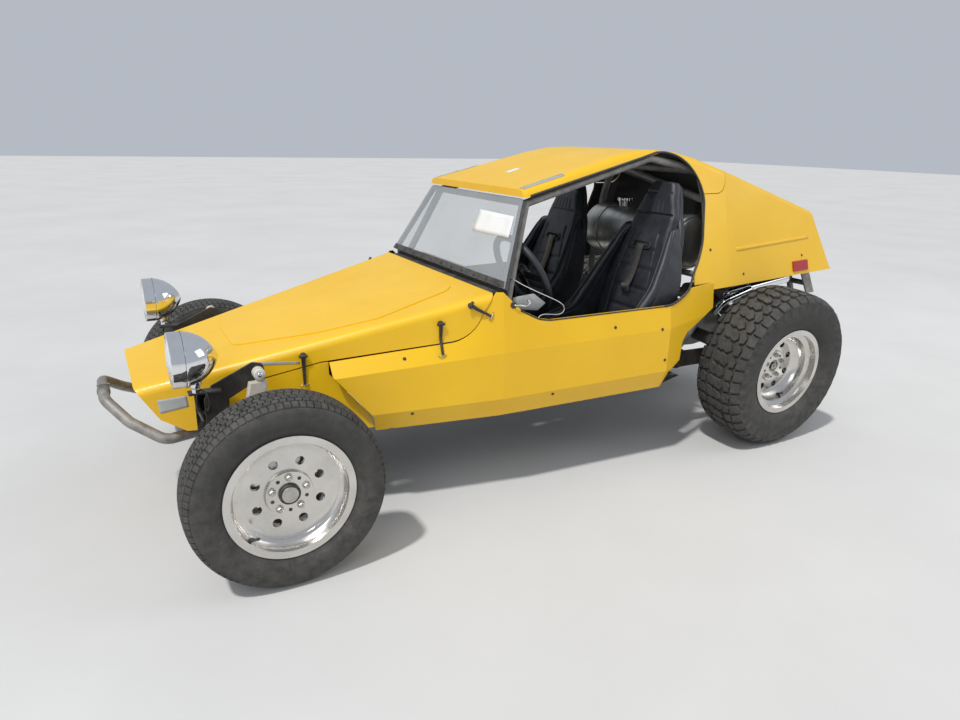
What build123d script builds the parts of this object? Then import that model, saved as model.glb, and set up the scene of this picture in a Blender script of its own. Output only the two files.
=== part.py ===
from build123d import *
import math
import os

os.makedirs("parts", exist_ok=True)

# Dune buggy: millimetres, +X forward, +Y to the driver's left, +Z up.
# The origin is on the ground, half way along the whole length, on the centre line.

# Overall sizes
overall_length = 3600
wheelbase = 2360
front_overhang = 495
front_axle_x = overall_length / 2 - front_overhang
rear_axle_x = front_axle_x - wheelbase
tail_end_x = -overall_length / 2

# Wheels
front_tyre_radius = 320
front_tyre_width = 185
front_wheel_y = 697
rear_tyre_radius = 378
rear_tyre_width = 266
rear_wheel_y = 622
rear_camber = 4.0
rim_seat_radius = 190.5
rim_lip_radius = rim_seat_radius + 17.5
front_rim_width = 152
rear_rim_width = 216
lug_circle_radius = 57
wheel_hole_count = 8
wheel_hole_radius = 15
wheel_hole_circle = 109
drum_radius = 124
drum_width = 58

# Glass-fibre body
shell = 6
hood_tip_x = overall_length / 2 - 112
hood_tip_z = 572
nose_half_width = 270
cowl_x = 425
cowl_z = 852
cowl_half_width = 545
hood_edge_radius = 32
hood_raise = 3.5
body_floor_z = 362
rocker_z = 447
pod_rear_x = -375
pod_half_rear = 620
rocker_inset = 38
waist_rear_x = -735
waist_half_rear = 515
sill_z = 735
waist_z = 900
tail_seam_z = 788
tumble_low_z = 700
tumble_low_half = 600
tumble_high_z = 1400
tumble_high_half = 334
roof_front_x = 268
roof_front_z = 1212
roof_rise = 0.257
roof_fall = 0.280
roof_bend_radius = 900
roof_seam_z = 1284
roof_seam_x = -862
tail_bottom_z = 757
tail_shoulder_x = tail_end_x + 160
tail_lower_x = tail_end_x + 25
tail_lower_z = 790
tail_low_half = 372
tail_high_half = 180
roof_edge_radius = 40
seam_gap = 3
hood_gap = 5

# Cabin
steering_wheel_radius = 168
steering_rim_radius = 13
column_fall = 28
seat_y = 320
seat_half = 228
seat_wing = 40
passenger_seat_forward = 40
passenger_seat_drop = 40
tank_radius = 128
tank_length = 680
tank_x = -735
tank_z = 950

# Frame and running gear
pan_thickness = 3
pan_z = 366
pan_clearance = 1.5
tunnel_width = 150
tunnel_height = 120
beam_x = front_axle_x + 150
beam_upper_z = 405
beam_lower_z = 255
beam_tube_radius = 27
beam_half_width = 425
kingpin_y = 560
steer_arm_length = 106
tower_thickness = 8
cage_radius = 19
hoop_x = -762
post_x = 372
brace_y = 370
torsion_x = rear_axle_x + 385
torsion_z = 400
torsion_radius = 50
torsion_half_width = 395
bumper_radius = 19
bumper_clamp_radius = 22

front_hub_z = front_tyre_radius


# Shared shapes
def rod(start, end, radius):
    a, b = Vector(*start), Vector(*end)
    return Pos(*a) * (Plane(origin=(0, 0, 0), z_dir=b - a).location
                      * Cylinder(radius, (b - a).length, align=(Align.CENTER, Align.CENTER, Align.MIN)))


def pipe(points, radius, bend):
    path = FilletPolyline(*points, radius=bend)
    section = Plane(origin=path @ 0, z_dir=path % 0) * Circle(radius)
    return sweep(section, path)


def block(x0, x1, y0, y1, z0, z1):
    return Pos((x0 + x1) / 2, (y0 + y1) / 2, (z0 + z1) / 2) * Box(x1 - x0, y1 - y0, z1 - z0)


def side_plate(points, y0, y1):
    # A plate cut to a side-view outline of (x, z) points, from y0 to y1
    face = Plane.XZ.offset(-y0) * make_face(Polyline(*points, close=True))
    return extrude(face, amount=-(y1 - y0))


def both_sides(*shapes):
    return list(shapes) + [mirror(shape, Plane.XZ) for shape in shapes]


def largest(shape):
    return max(shape.solids(), key=lambda solid: solid.volume)


def write(name, shapes):
    solids = []
    for shape in (shapes if isinstance(shapes, (list, tuple)) else [shapes]):
        solids.extend(shape.solids())
    export_step(Compound(children=solids) if len(solids) > 1 else solids[0], f"parts/{name}.step")


def without(shape, placed):
    # What is left of a shape beside the solids that are already there
    for other in placed:
        shape = shape - other
    return shape


# Cords: a thin wire in the left doorway's front corner, and two cables under each headlamp.
# Their routes are chosen by hand, each from the seat where it starts to the seat where it ends.
wire_diameter, cable_diameter = 3, 5
wire_route = [
    (350, 489, 886), (320, 503, 866), (285, 515, 848), (250, 524, 831), (215, 530, 815), (180, 533, 799),
    (153, 534, 785), (134, 533, 770), (127, 531, 754), (133, 529, 741), (148, 528, 735), (168, 528, 735),
    (192, 529, 739), (222, 530, 743), (243, 532, 741), (259, 539, 733), (268, 550, 724),
]
cable_routes = [
    [(1516, 472.3, 613.5), (1517, 479.9, 608.7), (1518.5, 486.1, 600.8), (1520.5, 490.4, 587.5),
     (1521.5, 489.8, 569.5), (1520, 483.3, 551.6), (1515, 472.2, 537.4), (1506, 460.5, 528.5),
     (1497, 450, 523.5)],
    [(1506.2, 466.6, 613.5), (1499.5, 471.5, 609.5), (1493, 480, 606), (1487, 486.5, 596),
     (1483, 487.5, 580.5), (1481.5, 483.5, 563.5), (1483, 475, 548), (1485, 463, 537),
     (1484.5, 450.5, 531.5)],
]


def cord_seat(route, radius, reach):
    # A round nub in line with a cord's first run, whose flat end the cord starts from
    start, after = Vector(*route[0]), Vector(*route[1])
    return rod(tuple(start + (start - after).normalized() * reach), route[0], radius)


# Body outlines as they change along the length
def hood_z(x):
    return hood_tip_z + (hood_tip_x - x) * (cowl_z - hood_tip_z) / (hood_tip_x - cowl_x)


def hood_half(x):
    return nose_half_width + (hood_tip_x - x) * (cowl_half_width - nose_half_width) / (hood_tip_x - cowl_x)


def low_half(x):
    # Half width of the front body at floor height
    return nose_half_width - 6 + (hood_tip_x - x) * 0.243


def ring(x, points):
    # A symmetric section across the car from (y, z) points of its left half, top to bottom
    outline = [(x, y, z) for y, z in points] + [(x, -y, z) for y, z in reversed(points)]
    return make_face(Polyline(*outline, close=True))


def front_volume(inset, floor_z):
    # Hood and foot box as one wedge, smaller by inset on the top and the sides
    def section(x):
        return ring(x, [(hood_half(x) - inset, hood_z(x) - inset), (low_half(x) - inset, floor_z)])
    solid = loft([section(hood_tip_x + 20), section(cowl_x - 40)], ruled=True)
    edges = [e for e in solid.edges() if abs((e @ 0).X - (e @ 1).X) > 500 and (e @ 0.5).Z > 600]
    return fillet(edges, hood_edge_radius - inset)


def side_volume(inset, drop):
    # Side pods from the front tip to the rear facet, smaller by inset, deeper by drop
    rows = [
        # x, half width, crease z, half width at waist_z, rocker z, floor z
        (1120, 450, 570, 168, 419, 345),
        (cowl_x, 573, 620, cowl_half_width - 6, 433, 352),
        (pod_rear_x, pod_half_rear, 637, pod_half_rear - 42, rocker_z, body_floor_z),
        (waist_rear_x - 60, waist_half_rear - 17, 655, waist_half_rear - 42, rocker_z, body_floor_z),
    ]
    faces = []
    for x, half, crease, waist, rocker, floor in rows:
        half, waist = half - inset, waist - inset
        faces.append(ring(x, [(waist, waist_z), (half, crease), (half, rocker),
                              (half - rocker_inset, floor), (half - rocker_inset, floor - drop - 1)]))
    return loft(faces, ruled=True)


# Roof line in side view: straight up from the screen, one arc, straight down the tail
roof_bend = math.atan(roof_rise) + math.atan(roof_fall)
apex_x = ((roof_front_z + roof_rise * roof_front_x - roof_seam_z + roof_fall * roof_seam_x)
          / (roof_rise + roof_fall))
tangent = roof_bend_radius * math.tan(roof_bend / 2)
arc_front_x = apex_x + tangent * math.cos(math.atan(roof_rise))
arc_rear_x = apex_x - tangent * math.cos(math.atan(roof_fall))
arc_centre_x = arc_front_x - roof_bend_radius * math.sin(math.atan(roof_rise))
arc_centre_z = (roof_front_z + roof_rise * (roof_front_x - arc_front_x)
                - roof_bend_radius * math.cos(math.atan(roof_rise)))


def roof_z(x):
    if x > arc_front_x:
        return roof_front_z + roof_rise * (roof_front_x - x)
    if x > arc_rear_x:
        return arc_centre_z + math.sqrt(roof_bend_radius ** 2 - (x - arc_centre_x) ** 2)
    return roof_seam_z + roof_fall * (x - roof_seam_x)


def cabin_volume(inset):
    # Roof and tail: leaning sides under the roof line, with a rounded edge between them
    arc_step = (arc_front_x - arc_rear_x) / 4
    front = (tumble_low_half, tumble_high_half)
    rows = [
        # x, top z, half width at the low height, half width at the high height
        (roof_front_x - inset, roof_front_z, *front),
        (arc_front_x, roof_z(arc_front_x), *front),
        (arc_front_x - arc_step, roof_z(arc_front_x - arc_step), 588, 334),
        (arc_front_x - 2 * arc_step, roof_z(arc_front_x - 2 * arc_step), 565, 334),
        (arc_front_x - 3 * arc_step, roof_z(arc_front_x - 3 * arc_step), 545, 335),
        (arc_rear_x, roof_z(arc_rear_x), 526, 336),
        (roof_seam_x, roof_seam_z, 503, 336),
        (tail_shoulder_x + inset, roof_z(tail_shoulder_x), 397, 200),
        (tail_lower_x + inset, tail_lower_z, 376, 184),
        (tail_end_x + inset, tail_lower_z - 22, tail_low_half, tail_high_half),
    ]
    faces = []
    for x, top, low, high in rows:
        slope = (high - low) / (tumble_high_z - tumble_low_z)
        top = top - inset
        at_top = low - inset + slope * (top - tumble_low_z)
        at_base = low - inset + slope * (tail_bottom_z - 60 - tumble_low_z)
        face = ring(x, [(at_top, top), (at_base, tail_bottom_z - 60)])
        corners = [v for v in face.vertices() if v.Z > top - 1]
        faces.append(fillet(corners, roof_edge_radius - inset))
    return loft(faces, ruled=True)


def profile_solid(edges, half_width):
    # A side-view outline carried right across the car
    return extrude(Plane.XZ.offset(half_width) * make_face(edges), amount=-2 * half_width)


def side_opening(grow):
    # Door-less opening, the same on both sides; grow widens it for a seam or a trim
    g = grow
    return profile_solid([
        Line((425 + g, 852 + g), (351 + g, 779 - g)),
        Line((351 + g, 779 - g), (269 + g, 739 - g)),
        Line((269 + g, 739 - g), (222, sill_z - 4 - g)),
        Line((222, sill_z - 4 - g), (-345, sill_z + 3 - g)),
        ThreePointArc((-345, sill_z + 3 - g), (-592 - g, 838 - g), (-684 - g, 985)),
        Line((-684 - g, 985), (-714 - g, 1150)),
        ThreePointArc((-714 - g, 1150), (-637 - g, 1298 + g), (-462, 1352 + g)),
        Line((-462, 1352 + g), (239 + g, 1184 + g)),
        Line((239 + g, 1184 + g), (425 + g, 1184 + g)),
        Line((425 + g, 1184 + g), (425 + g, 852 + g)),
    ], 800)


def tongue_region(grow):
    # Everything of the roof shell: ahead of the seam, down to the tongue's lower edge
    x0, z0, r = roof_seam_x - grow, 1180 - grow, 60
    return profile_solid([
        Line((500, 1178), (500, 1500)), Line((500, 1500), (x0, 1500)), Line((x0, 1500), (x0, z0 + r)),
        ThreePointArc((x0, z0 + r), (x0 + r * (1 - math.sqrt(0.5)), z0 + r * (1 - math.sqrt(0.5))),
                      (x0 + r, z0)),
        Line((x0 + r, z0), (-600, z0)), Line((-600, z0), (-500, 1178)), Line((-500, 1178), (500, 1178)),
    ], 800)


def hood_region(drop):
    # The hood's lower edge in side view: nose, cut-out over the beam, and the body seam
    d = drop
    return profile_solid([
        Line((hood_tip_x + 60, 700), (hood_tip_x, hood_tip_z - 2)),
        Line((hood_tip_x, hood_tip_z - 2), (1619, 456)),
        Line((1619, 456), (1540, 408)), Line((1540, 408), (1508, 408)),
        Line((1508, 408), (1508, 540)), Line((1508, 540), (1330, 572 - d)),
        Line((1330, 572 - d), (1090, 628 - d)), Line((1090, 628 - d), (620, 674 - d)),
        ThreePointArc((620, 674 - d), (555, 700 - d), (505 - d, 768)),
        Line((505 - d, 768), (cowl_x + 6 - d, cowl_z + 30)),
        Line((cowl_x + 6 - d, cowl_z + 30), (hood_tip_x + 60, cowl_z + 30)),
        Line((hood_tip_x + 60, cowl_z + 30), (hood_tip_x + 60, 700)),
    ], 800)


# Panels
front_outer = front_volume(0, body_floor_z)
front_inner = front_volume(shell, body_floor_z - 50)
nose_inner = profile_solid([
    Line((300, 300), (1532, 300)), Line((1532, 300), (1532, 414)), Line((1532, 414), (1614, 464)),
    Line((1614, 464), (hood_tip_x - shell - 2, hood_tip_z - 2)),
    Line((hood_tip_x - shell - 2, hood_tip_z - 2), (hood_tip_x - shell - 2, 900)),
    Line((hood_tip_x - shell - 2, 900), (300, 900)), Line((300, 900), (300, 300)),
], 800)
hood_slope = math.atan((cowl_z - hood_tip_z) / (hood_tip_x - cowl_x))
hood_plane = Plane(origin=(hood_tip_x, 0, hood_tip_z), x_dir=(-math.cos(hood_slope), 0, math.sin(hood_slope)),
                   z_dir=(math.sin(hood_slope), 0, math.cos(hood_slope)))
raised_side = [
    # x, half width
    (1341, 147), (1074, 311), (857, 379), (555, 329), (519, 294),
]
left_edge = [((hood_tip_x - x) / math.cos(hood_slope), -half) for x, half in raised_side]
right_edge = [(d, -w) for d, w in left_edge]
rear_middle = ((hood_tip_x - 470) / math.cos(hood_slope), 0)
raised = make_face([
    Polyline(*left_edge), Polyline(*right_edge), Line(left_edge[0], right_edge[0]),
    ThreePointArc(left_edge[-1], rear_middle, right_edge[-1])])
raised = fillet(raised.vertices(), 40)
hood_shell = (front_outer & hood_region(0)) - (front_inner & nose_inner)
hood_shell += hood_plane * (Pos(0, 0, -1) * extrude(raised, amount=1 + hood_raise))
write("hood", hood_shell)


def pod_region(grow):
    # Side view of the pods: slanted front edge, rocker, and the stepped rear edge by the wheel
    g = grow
    return profile_solid([
        Line((1062 + g, 580), (925 + g, 416)), Line((925 + g, 416), (902 + g, 330 - 4 * g)),
        Line((902 + g, 330 - 4 * g), (-385 - g, 330 - 4 * g)),
        Line((-385 - g, 330 - 4 * g), (-400 - g, 440)), Line((-400 - g, 440), (-478 - g, 476)),
        Line((-478 - g, 476), (-487 - g, 560)), Line((-487 - g, 560), (-522 - g, 596)),
        Line((-522 - g, 596), (waist_rear_x - g, 672)),
        Line((waist_rear_x - g, 672), (waist_rear_x - g, tail_seam_z + g)),
        Line((waist_rear_x - g, tail_seam_z + g), (-500, tail_seam_z + g)),
        Line((-500, tail_seam_z + g), (-500, 880 + g)), Line((-500, 880 + g), (1062 + g, 880 + g)),
        Line((1062 + g, 880 + g), (1062 + g, 580)),
    ], 800)


side_outer = side_volume(0, 0) & pod_region(0)
side_inner = side_volume(shell, 60) & pod_region(1)
foot_front_x = 1420
foot_outer = front_outer & block(880, foot_front_x, -800, 800, 345, 900)
foot_inner = front_inner & block(840, foot_front_x + 20, -800, 800, 250, 950)
body_shell = (foot_outer + side_outer) - foot_inner - side_inner
body_shell = body_shell - hood_region(hood_gap) - side_opening(0)
body_shell = body_shell & block(waist_rear_x - 20, foot_front_x, -800, 800, 300, cowl_z - 2)
left_panel = largest(body_shell & block(-900, 1500, 100, 800, 200, 1000))
write("right_side_panel", mirror(left_panel, Plane.XZ))
wire_boss = cord_seat(wire_route[::-1], 5, 30)
write("left_side_panel", left_panel + (wire_boss & side_volume(shell - 1, 60)))

cabin_outer = cabin_volume(0)
cabin_inner = cabin_volume(shell)
cabin_shell = cabin_outer - cabin_inner - block(-1900, 500, -800, 800, 600, tail_bottom_z)
tongues = tongue_region(0)
write("roof_panel", largest((cabin_shell & tongues) - side_opening(0)))
tail_cut = tongue_region(seam_gap) + block(waist_rear_x - 0.3, 500, -800, 800, 600, tail_seam_z + 0.3)
tail = cabin_shell - tail_cut - side_opening(0) - block(-600, 500, -800, 800, 600, 1178)
lip_inner = cabin_volume(shell + 3.5)
lip = (cabin_volume(shell - 0.5) - lip_inner) & block(-905, roof_seam_x - seam_gap - 1, -270, 270, 1150, 1400)
lip += (cabin_volume(shell + 0.3) - lip_inner) & block(-900, roof_seam_x + 40, -270, 270, 1150, 1400)
write("tail_cover", largest(tail + lip))


# Wheels, built round the Y axis with the outer side towards +Y, then moved into place
def revolved(points):
    # A ring from (y, radius) points of its section
    face = make_face(Polyline(*[(0, y, r) for y, r in points], close=True))
    return revolve(face, Axis.Y)


def tyre(radius, width, rim_width):
    bead, bulge = rim_width / 2 - 8, width / 2
    lip = rim_lip_radius + 1
    half = [
        # y, radius
        (bead, rim_seat_radius + 0.4), (bead, lip + 3), (bulge - 4, lip + 22), (bulge, (lip + radius) / 2),
        (bulge - 5, radius - 26), (bulge - 17, radius - 9), (bulge - 36, radius - 1), (0, radius),
    ]
    other = [(-y, r) for y, r in reversed(half[:-1])]
    return revolved(half + other)


def rim(rim_width, disc_y, pad_height, capped):
    out, seat, well, wall = rim_width / 2, rim_seat_radius, 168, 6
    barrel = revolved([
        (out, rim_lip_radius), (out - 6, rim_lip_radius), (out - 8, seat), (out - 34, seat), (out - 44, well),
        (-out + 50, well), (-out + 36, seat), (-out + 8, seat), (-out + 6, rim_lip_radius),
        (-out, rim_lip_radius), (-out, seat - wall), (-out + 33, seat - wall), (-out + 47, well - wall),
        (out - 40, well - wall), (out - 30, seat - wall), (out, seat - wall),
    ])
    disc = revolved([
        (disc_y, 30), (disc_y, well - wall + 1), (disc_y - 10, well - wall + 1), (disc_y - 14, 100),
        (disc_y - 14, 30),
    ])
    pad = revolved([
        (disc_y, 30), (disc_y + pad_height, 30), (disc_y + pad_height, 74), (disc_y, 78),
    ])
    # The disc runs into the barrel in a rounded dish
    dish_y, on_seat = disc_y + 32, disc_y + 32 > out - 30
    dish_r = (seat if on_seat else well) - wall
    in_metal = [(dish_y, dish_r + 3)] + ([(out - 32, seat - 3), (out - 42, well - 3)] if on_seat else [])
    in_metal += [(disc_y - 1, well - 3), (disc_y - 1, dish_r - 55), (disc_y, dish_r - 55)]
    curve = ThreePointArc((0, disc_y, dish_r - 55), (0, disc_y + 9.4, dish_r - 16.1), (0, dish_y, dish_r))
    corners = Polyline(*[(0, y, r) for y, r in [(dish_y, dish_r)] + in_metal])
    body = barrel + disc + pad + revolve(make_face([curve, corners]), Axis.Y)
    for i in range(wheel_hole_count):
        turn = Rot(0, 360 / wheel_hole_count * (i + 0.5), 0)
        body -= turn * Pos(0, disc_y, wheel_hole_circle) * Rot(90, 0, 0) * Cylinder(wheel_hole_radius, 80)
    cap = Pos(0, disc_y + pad_height / 2 - 2, 0) * Rot(90, 0, 0) * Cylinder(30, pad_height + 24)
    hub = revolved([
        (disc_y - 14, 0), (disc_y - 14, 70), (disc_y - 26, 108), (disc_y - 30, drum_radius),
        (disc_y - 14 - drum_width, drum_radius), (disc_y - 14 - drum_width, 96), (disc_y - 38, 96),
        (disc_y - 38, 0),
    ])
    if capped:
        body += fillet(cap.edges().filter_by(GeomType.CIRCLE).sort_by(Axis.Y)[-1], 4)
    return body + hub


front_disc_y = 28
rear_disc_y = 12
wheel_sets = [
    # position, tyre radius, tyre width, rim width, disc y, pad height, whether it has a centre cap
    ("front", front_tyre_radius, front_tyre_width, front_rim_width, front_disc_y, 12, True),
    ("rear", rear_tyre_radius, rear_tyre_width, rear_rim_width, rear_disc_y, 8, False),
]
for place, radius, width, rim_width, disc_y, pad, capped in wheel_sets:
    wheel_tyre = tyre(radius, width, rim_width)
    wheel_rim = rim(rim_width, disc_y, pad, capped)
    if place == "front":
        seat_at = Pos(front_axle_x, front_wheel_y, front_hub_z)
    else:
        lean = Rot(-rear_camber, 0, 0)
        rear_hub_z = -(lean * wheel_tyre).bounding_box().min.Z
        seat_at = Pos(rear_axle_x, rear_wheel_y, rear_hub_z) * lean
    for name, piece in (("tyre", wheel_tyre), ("rim", wheel_rim)):
        left = seat_at * piece
        write(f"{place}_left_{name}", left)
        write(f"{place}_right_{name}", mirror(left, Plane.XZ))


# Front beam: two cross tubes, arms, knuckles that steer, shocks and their towers
beam_tubes = [rod((beam_x, -beam_half_width, z), (beam_x, beam_half_width, z), beam_tube_radius)
              for z in (beam_upper_z, beam_lower_z)]
beam_web = [block(beam_x - 12, beam_x + 12, y - 6, y + 6, beam_lower_z + 20, beam_upper_z - 20)
            for y in (-150, 150)]
write("front_beam", beam_tubes + [without(web, beam_tubes) for web in beam_web])

tower = side_plate([
    (beam_x - 38, beam_lower_z - 34), (beam_x + 34, beam_lower_z - 34), (beam_x + 36, 560),
    (beam_x + 10, 606), (beam_x - 125, 668), (beam_x - 159, 660), (beam_x - 165, 628), (beam_x - 125, 596),
    (beam_x - 42, 552),
], beam_half_width + 0.3, beam_half_width + 0.3 + tower_thickness)
tower = fillet(tower.edges().filter_by(Axis.Y).sort_by(Axis.Z)[-3:], 14)
bushing = rod((beam_x - 137, beam_half_width + tower_thickness, 642),
              (beam_x - 137, beam_half_width + 36, 642), 13)
for route in cable_routes:
    bushing += cord_seat(route[::-1], 5, 24)
write("shock_towers", both_sides(tower + bushing))

arm_y0, arm_y1 = beam_half_width + tower_thickness + 0.6, beam_half_width + tower_thickness + 28
arms = []
for z in (beam_upper_z, beam_lower_z):
    arm = side_plate([(beam_x + 20, z - 20), (beam_x + 20, z + 20), (front_axle_x - 20, z + 15),
                      (front_axle_x - 20, z - 15)], arm_y0, arm_y1)
    arms.append(fillet(arm.edges().filter_by(Axis.Y), 10))

carrier_y = arm_y1 + 0.3
carrier = (block(front_axle_x - 18, front_axle_x + 18, carrier_y, kingpin_y,
                 beam_lower_z - 14, beam_lower_z + 14)
           + block(front_axle_x - 18, front_axle_x + 18, carrier_y, kingpin_y,
                   beam_upper_z - 14, beam_upper_z + 14)
           + block(front_axle_x - 14, front_axle_x + 14, carrier_y, carrier_y + 30,
                   beam_lower_z - 10, beam_upper_z + 10)
           + rod((front_axle_x, kingpin_y, beam_lower_z - 14),
                 (front_axle_x, kingpin_y, beam_upper_z + 14), 14))
write("trailing_arms", both_sides(*arms, carrier))

hub_inner_y = front_wheel_y + front_disc_y - 38
collar = rod((front_axle_x, kingpin_y, beam_lower_z + 15), (front_axle_x, kingpin_y, beam_upper_z - 15), 24)
kingpin_bore = rod((front_axle_x, kingpin_y, beam_lower_z), (front_axle_x, kingpin_y, beam_upper_z), 14 + 0.5)
hub_boss = rod((front_axle_x, kingpin_y + 20, front_hub_z),
               (front_axle_x, front_wheel_y - 60, front_hub_z), 26)
spindle = rod((front_axle_x, front_wheel_y - 62, front_hub_z),
              (front_axle_x, hub_inner_y - 0.5, front_hub_z), 15)
backing = rod((front_axle_x, front_wheel_y - 66, front_hub_z),
              (front_axle_x, front_wheel_y - 62, front_hub_z), 112)
arm_z0, arm_z1 = front_hub_z - 42, front_hub_z - 28
steer_arm_x = front_axle_x - steer_arm_length
steer_arm = block(steer_arm_x, front_axle_x - 15, kingpin_y - 28, kingpin_y - 14, arm_z0, arm_z1)
steer_arm += Pos(steer_arm_x, kingpin_y - 21, (arm_z0 + arm_z1) / 2) * Cylinder(14, arm_z1 - arm_z0)
steer_arm += block(front_axle_x - 29, front_axle_x - 15, kingpin_y - 28, kingpin_y + 18, arm_z0, arm_z1)
knuckle = collar + hub_boss + spindle + backing + steer_arm - kingpin_bore
write("left_knuckle", knuckle)
write("right_knuckle", mirror(knuckle, Plane.XZ))

# Front shocks lean forward from the tower to a stud on the lower arm
shock_y = arm_y1 + 17
shock_top_x, shock_low_x, shock_top_z, shock_low_z = beam_x - 135, beam_x - 67, 642, beam_lower_z + 4


def shock_x(z):
    return shock_top_x + (shock_top_z - z) / (shock_top_z - shock_low_z) * (shock_low_x - shock_top_x)


shock_body = rod((shock_x(470), shock_y, 470), (shock_x(280), shock_y, 280), 17)
cover_faces = [Plane(origin=(shock_x(z), shock_y, z), x_dir=(1, 0, 0), z_dir=(0, 0, -1))
               * RectangleRounded(length, 31, 7) for z, length in ((614, 60), (470, 68))]
shock_eyes = [rod((x, shock_y - 16.5, z), (x, shock_y + 10, z), r)
              for x, z, r in ((shock_top_x, shock_top_z, 20), (shock_low_x, shock_low_z, 16))]
shock_stems = [rod((shock_x(a), shock_y, a), (shock_x(b), shock_y, b), 9)
               for a, b in ((630, 612), (282, 268))]
shock = loft(cover_faces) + shock_body + shock_eyes[0] + shock_eyes[1] + shock_stems[0] + shock_stems[1]
write("front_shocks", both_sides(shock))

# Steering: box on the frame head, tie rods, column and wheel
box_x, box_y = steer_arm_x - steer_arm_length, tunnel_width / 2 + 40.3
box_z0, box_z1, link_gap = 400, 500, 0.5
steering_box = block(box_x - 43, box_x + 42, box_y - 40, box_y + 40, box_z0, box_z1)
steering_box += rod((box_x, box_y, arm_z1 + link_gap), (box_x, box_y, box_z0 + 1), 14)
write("steering_box", steering_box)
pitman = block(box_x, steer_arm_x, box_y - 9, box_y + 9, arm_z0, arm_z1)
for x in (box_x, steer_arm_x):
    pitman += Pos(x, box_y, (arm_z0 + arm_z1) / 2) * Cylinder(15, arm_z1 - arm_z0)
write("pitman_arm", pitman)
tie_eye_z = arm_z0 - link_gap - 9
tie_rod = rod((steer_arm_x, 21 - kingpin_y, tie_eye_z), (steer_arm_x, kingpin_y - 21, tie_eye_z), 8)
for y in (21 - kingpin_y, box_y, kingpin_y - 21):
    tie_rod += Pos(steer_arm_x, y, tie_eye_z) * Cylinder(15, 18)
write("tie_rod", tie_rod)

wheel_centre = Vector(200, seat_y, 870)
column_dir = Vector(math.cos(math.radians(column_fall)), 0, -math.sin(math.radians(column_fall)))
column_plane = Plane(origin=wheel_centre, x_dir=(0, 1, 0), z_dir=column_dir)
column_start = wheel_centre + column_dir * 34
column_end = wheel_centre + column_dir * 408
column_bore = rod(tuple(column_start), tuple(column_end - column_dir * 12), 8.5)
column_joint = Plane(origin=column_end, x_dir=(0, 1, 0), z_dir=column_dir) * Sphere(22)
column = rod(tuple(column_start), tuple(column_end), 16) - column_bore
joint = column_joint - rod(tuple(column_start), tuple(column_end), 16)
box_face_x = box_x - 43
lower_rod = rod(tuple(column_end), (box_face_x, box_y, (box_z0 + box_z1) / 2), 10)
lower_rod -= block(box_face_x - 0.3, box_x, box_y - 40, box_y + 40, box_z0, box_z1)
write("steering_column", [column, largest(joint), largest(without(lower_rod, [column, joint]))])
grip = column_plane * Torus(steering_wheel_radius, steering_rim_radius)
hub = column_plane * Pos(0, 0, 2) * Cylinder(30, 24)
spokes = [column_plane * Rot(0, 0, turn) * Pos(steering_wheel_radius / 2, 0, 2)
          * Box(steering_wheel_radius, 34, 5) for turn in (0, 180, 270)]
shaft = rod(tuple(wheel_centre), tuple(column_end - column_dir * 13), 8)
write("steering_wheel", grip + hub + spokes[0] + spokes[1] + spokes[2] + shaft)

# Backbone, floor pans and rear fork
tunnel_z0 = pan_z + 6
tunnel_z1 = tunnel_z0 + tunnel_height
tunnel = block(-640, 1180, -tunnel_width / 2, tunnel_width / 2, tunnel_z0, tunnel_z1)
tunnel = fillet(tunnel.edges().filter_by(Axis.X).sort_by(Axis.Z)[-2:], 35)
beam_face_x = beam_x - beam_tube_radius - 0.3
head = side_plate([(1000, tunnel_z0), (1000, 470), (1240, 470), (beam_face_x, 440), (beam_face_x, 240),
                   (1240, tunnel_z0)], -tunnel_width / 2, tunnel_width / 2)
fork = [side_plate([(-600, 380), (-600, 450), (-980, 470), (-980, 420), (-760, tunnel_z0)], y, y + 40)
        for y in (-tunnel_width / 2 - 40, tunnel_width / 2)]
torsion = rod((torsion_x, -torsion_half_width, torsion_z), (torsion_x, torsion_half_width, torsion_z),
              torsion_radius)
write("backbone_frame", tunnel + head + fork[0] + fork[1] + torsion)


def rocker_face(half, rocker, floor):
    # Just inside the rocker flange at the floor pan's height
    return half - shell - rocker_inset * (rocker - pan_z) / (rocker - floor) - pan_clearance


pan_outline = [
    (870, tunnel_width / 2 + 0.3), (870, rocker_face(494, 424, 347.5)),
    (cowl_x, rocker_face(573, 433, 352)),
    (pod_rear_x + 5, rocker_face(pod_half_rear - 1, rocker_z, body_floor_z)),
    (-560, 515), (-560, tunnel_width / 2 + 41),
]
pan_face = make_face(Polyline(*[(x, y, pan_z) for x, y in pan_outline], close=True))
pan = extrude(pan_face, amount=pan_thickness)
ribs = [block(x - 12, x + 12, 130, 430, pan_z + pan_thickness, pan_z + 6) for x in range(-450, 800, 110)]
for rib in ribs:
    pan += rib
write("floor_pans", both_sides(pan))

# Rear running gear: torsion tube, spring plates, gearbox, swing axles, engine block, exhaust
plate_y = torsion_half_width + 0.3
spring_plate = side_plate([(torsion_x + 50, torsion_z + 40), (torsion_x + 50, torsion_z - 40),
                           (rear_axle_x - 50, rear_hub_z - 30), (rear_axle_x - 50, rear_hub_z + 45)],
                          plate_y, plate_y + 10)
engine_z0, engine_half = 330, 210
gearbox = loft([Plane.YZ.offset(x) * Pos(0, z) * Circle(r) for x, z, r in
                ((-840, 420, 75), (-960, 425, 105), (-1130, 430, 118), (-1260, engine_z0 + 140, 139.5))], ruled=True)
gearbox = gearbox - fork[0] - fork[1] - tunnel
lean_dir = Vector(0, math.cos(math.radians(rear_camber)), -math.sin(math.radians(rear_camber)))
hub_centre = Vector(rear_axle_x, rear_wheel_y, rear_hub_z)
axle_out = hub_centre + lean_dir * (rear_disc_y - 38.5)
axle_mid = hub_centre - lean_dir * 130
axle_in = hub_centre - lean_dir * 495
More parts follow.
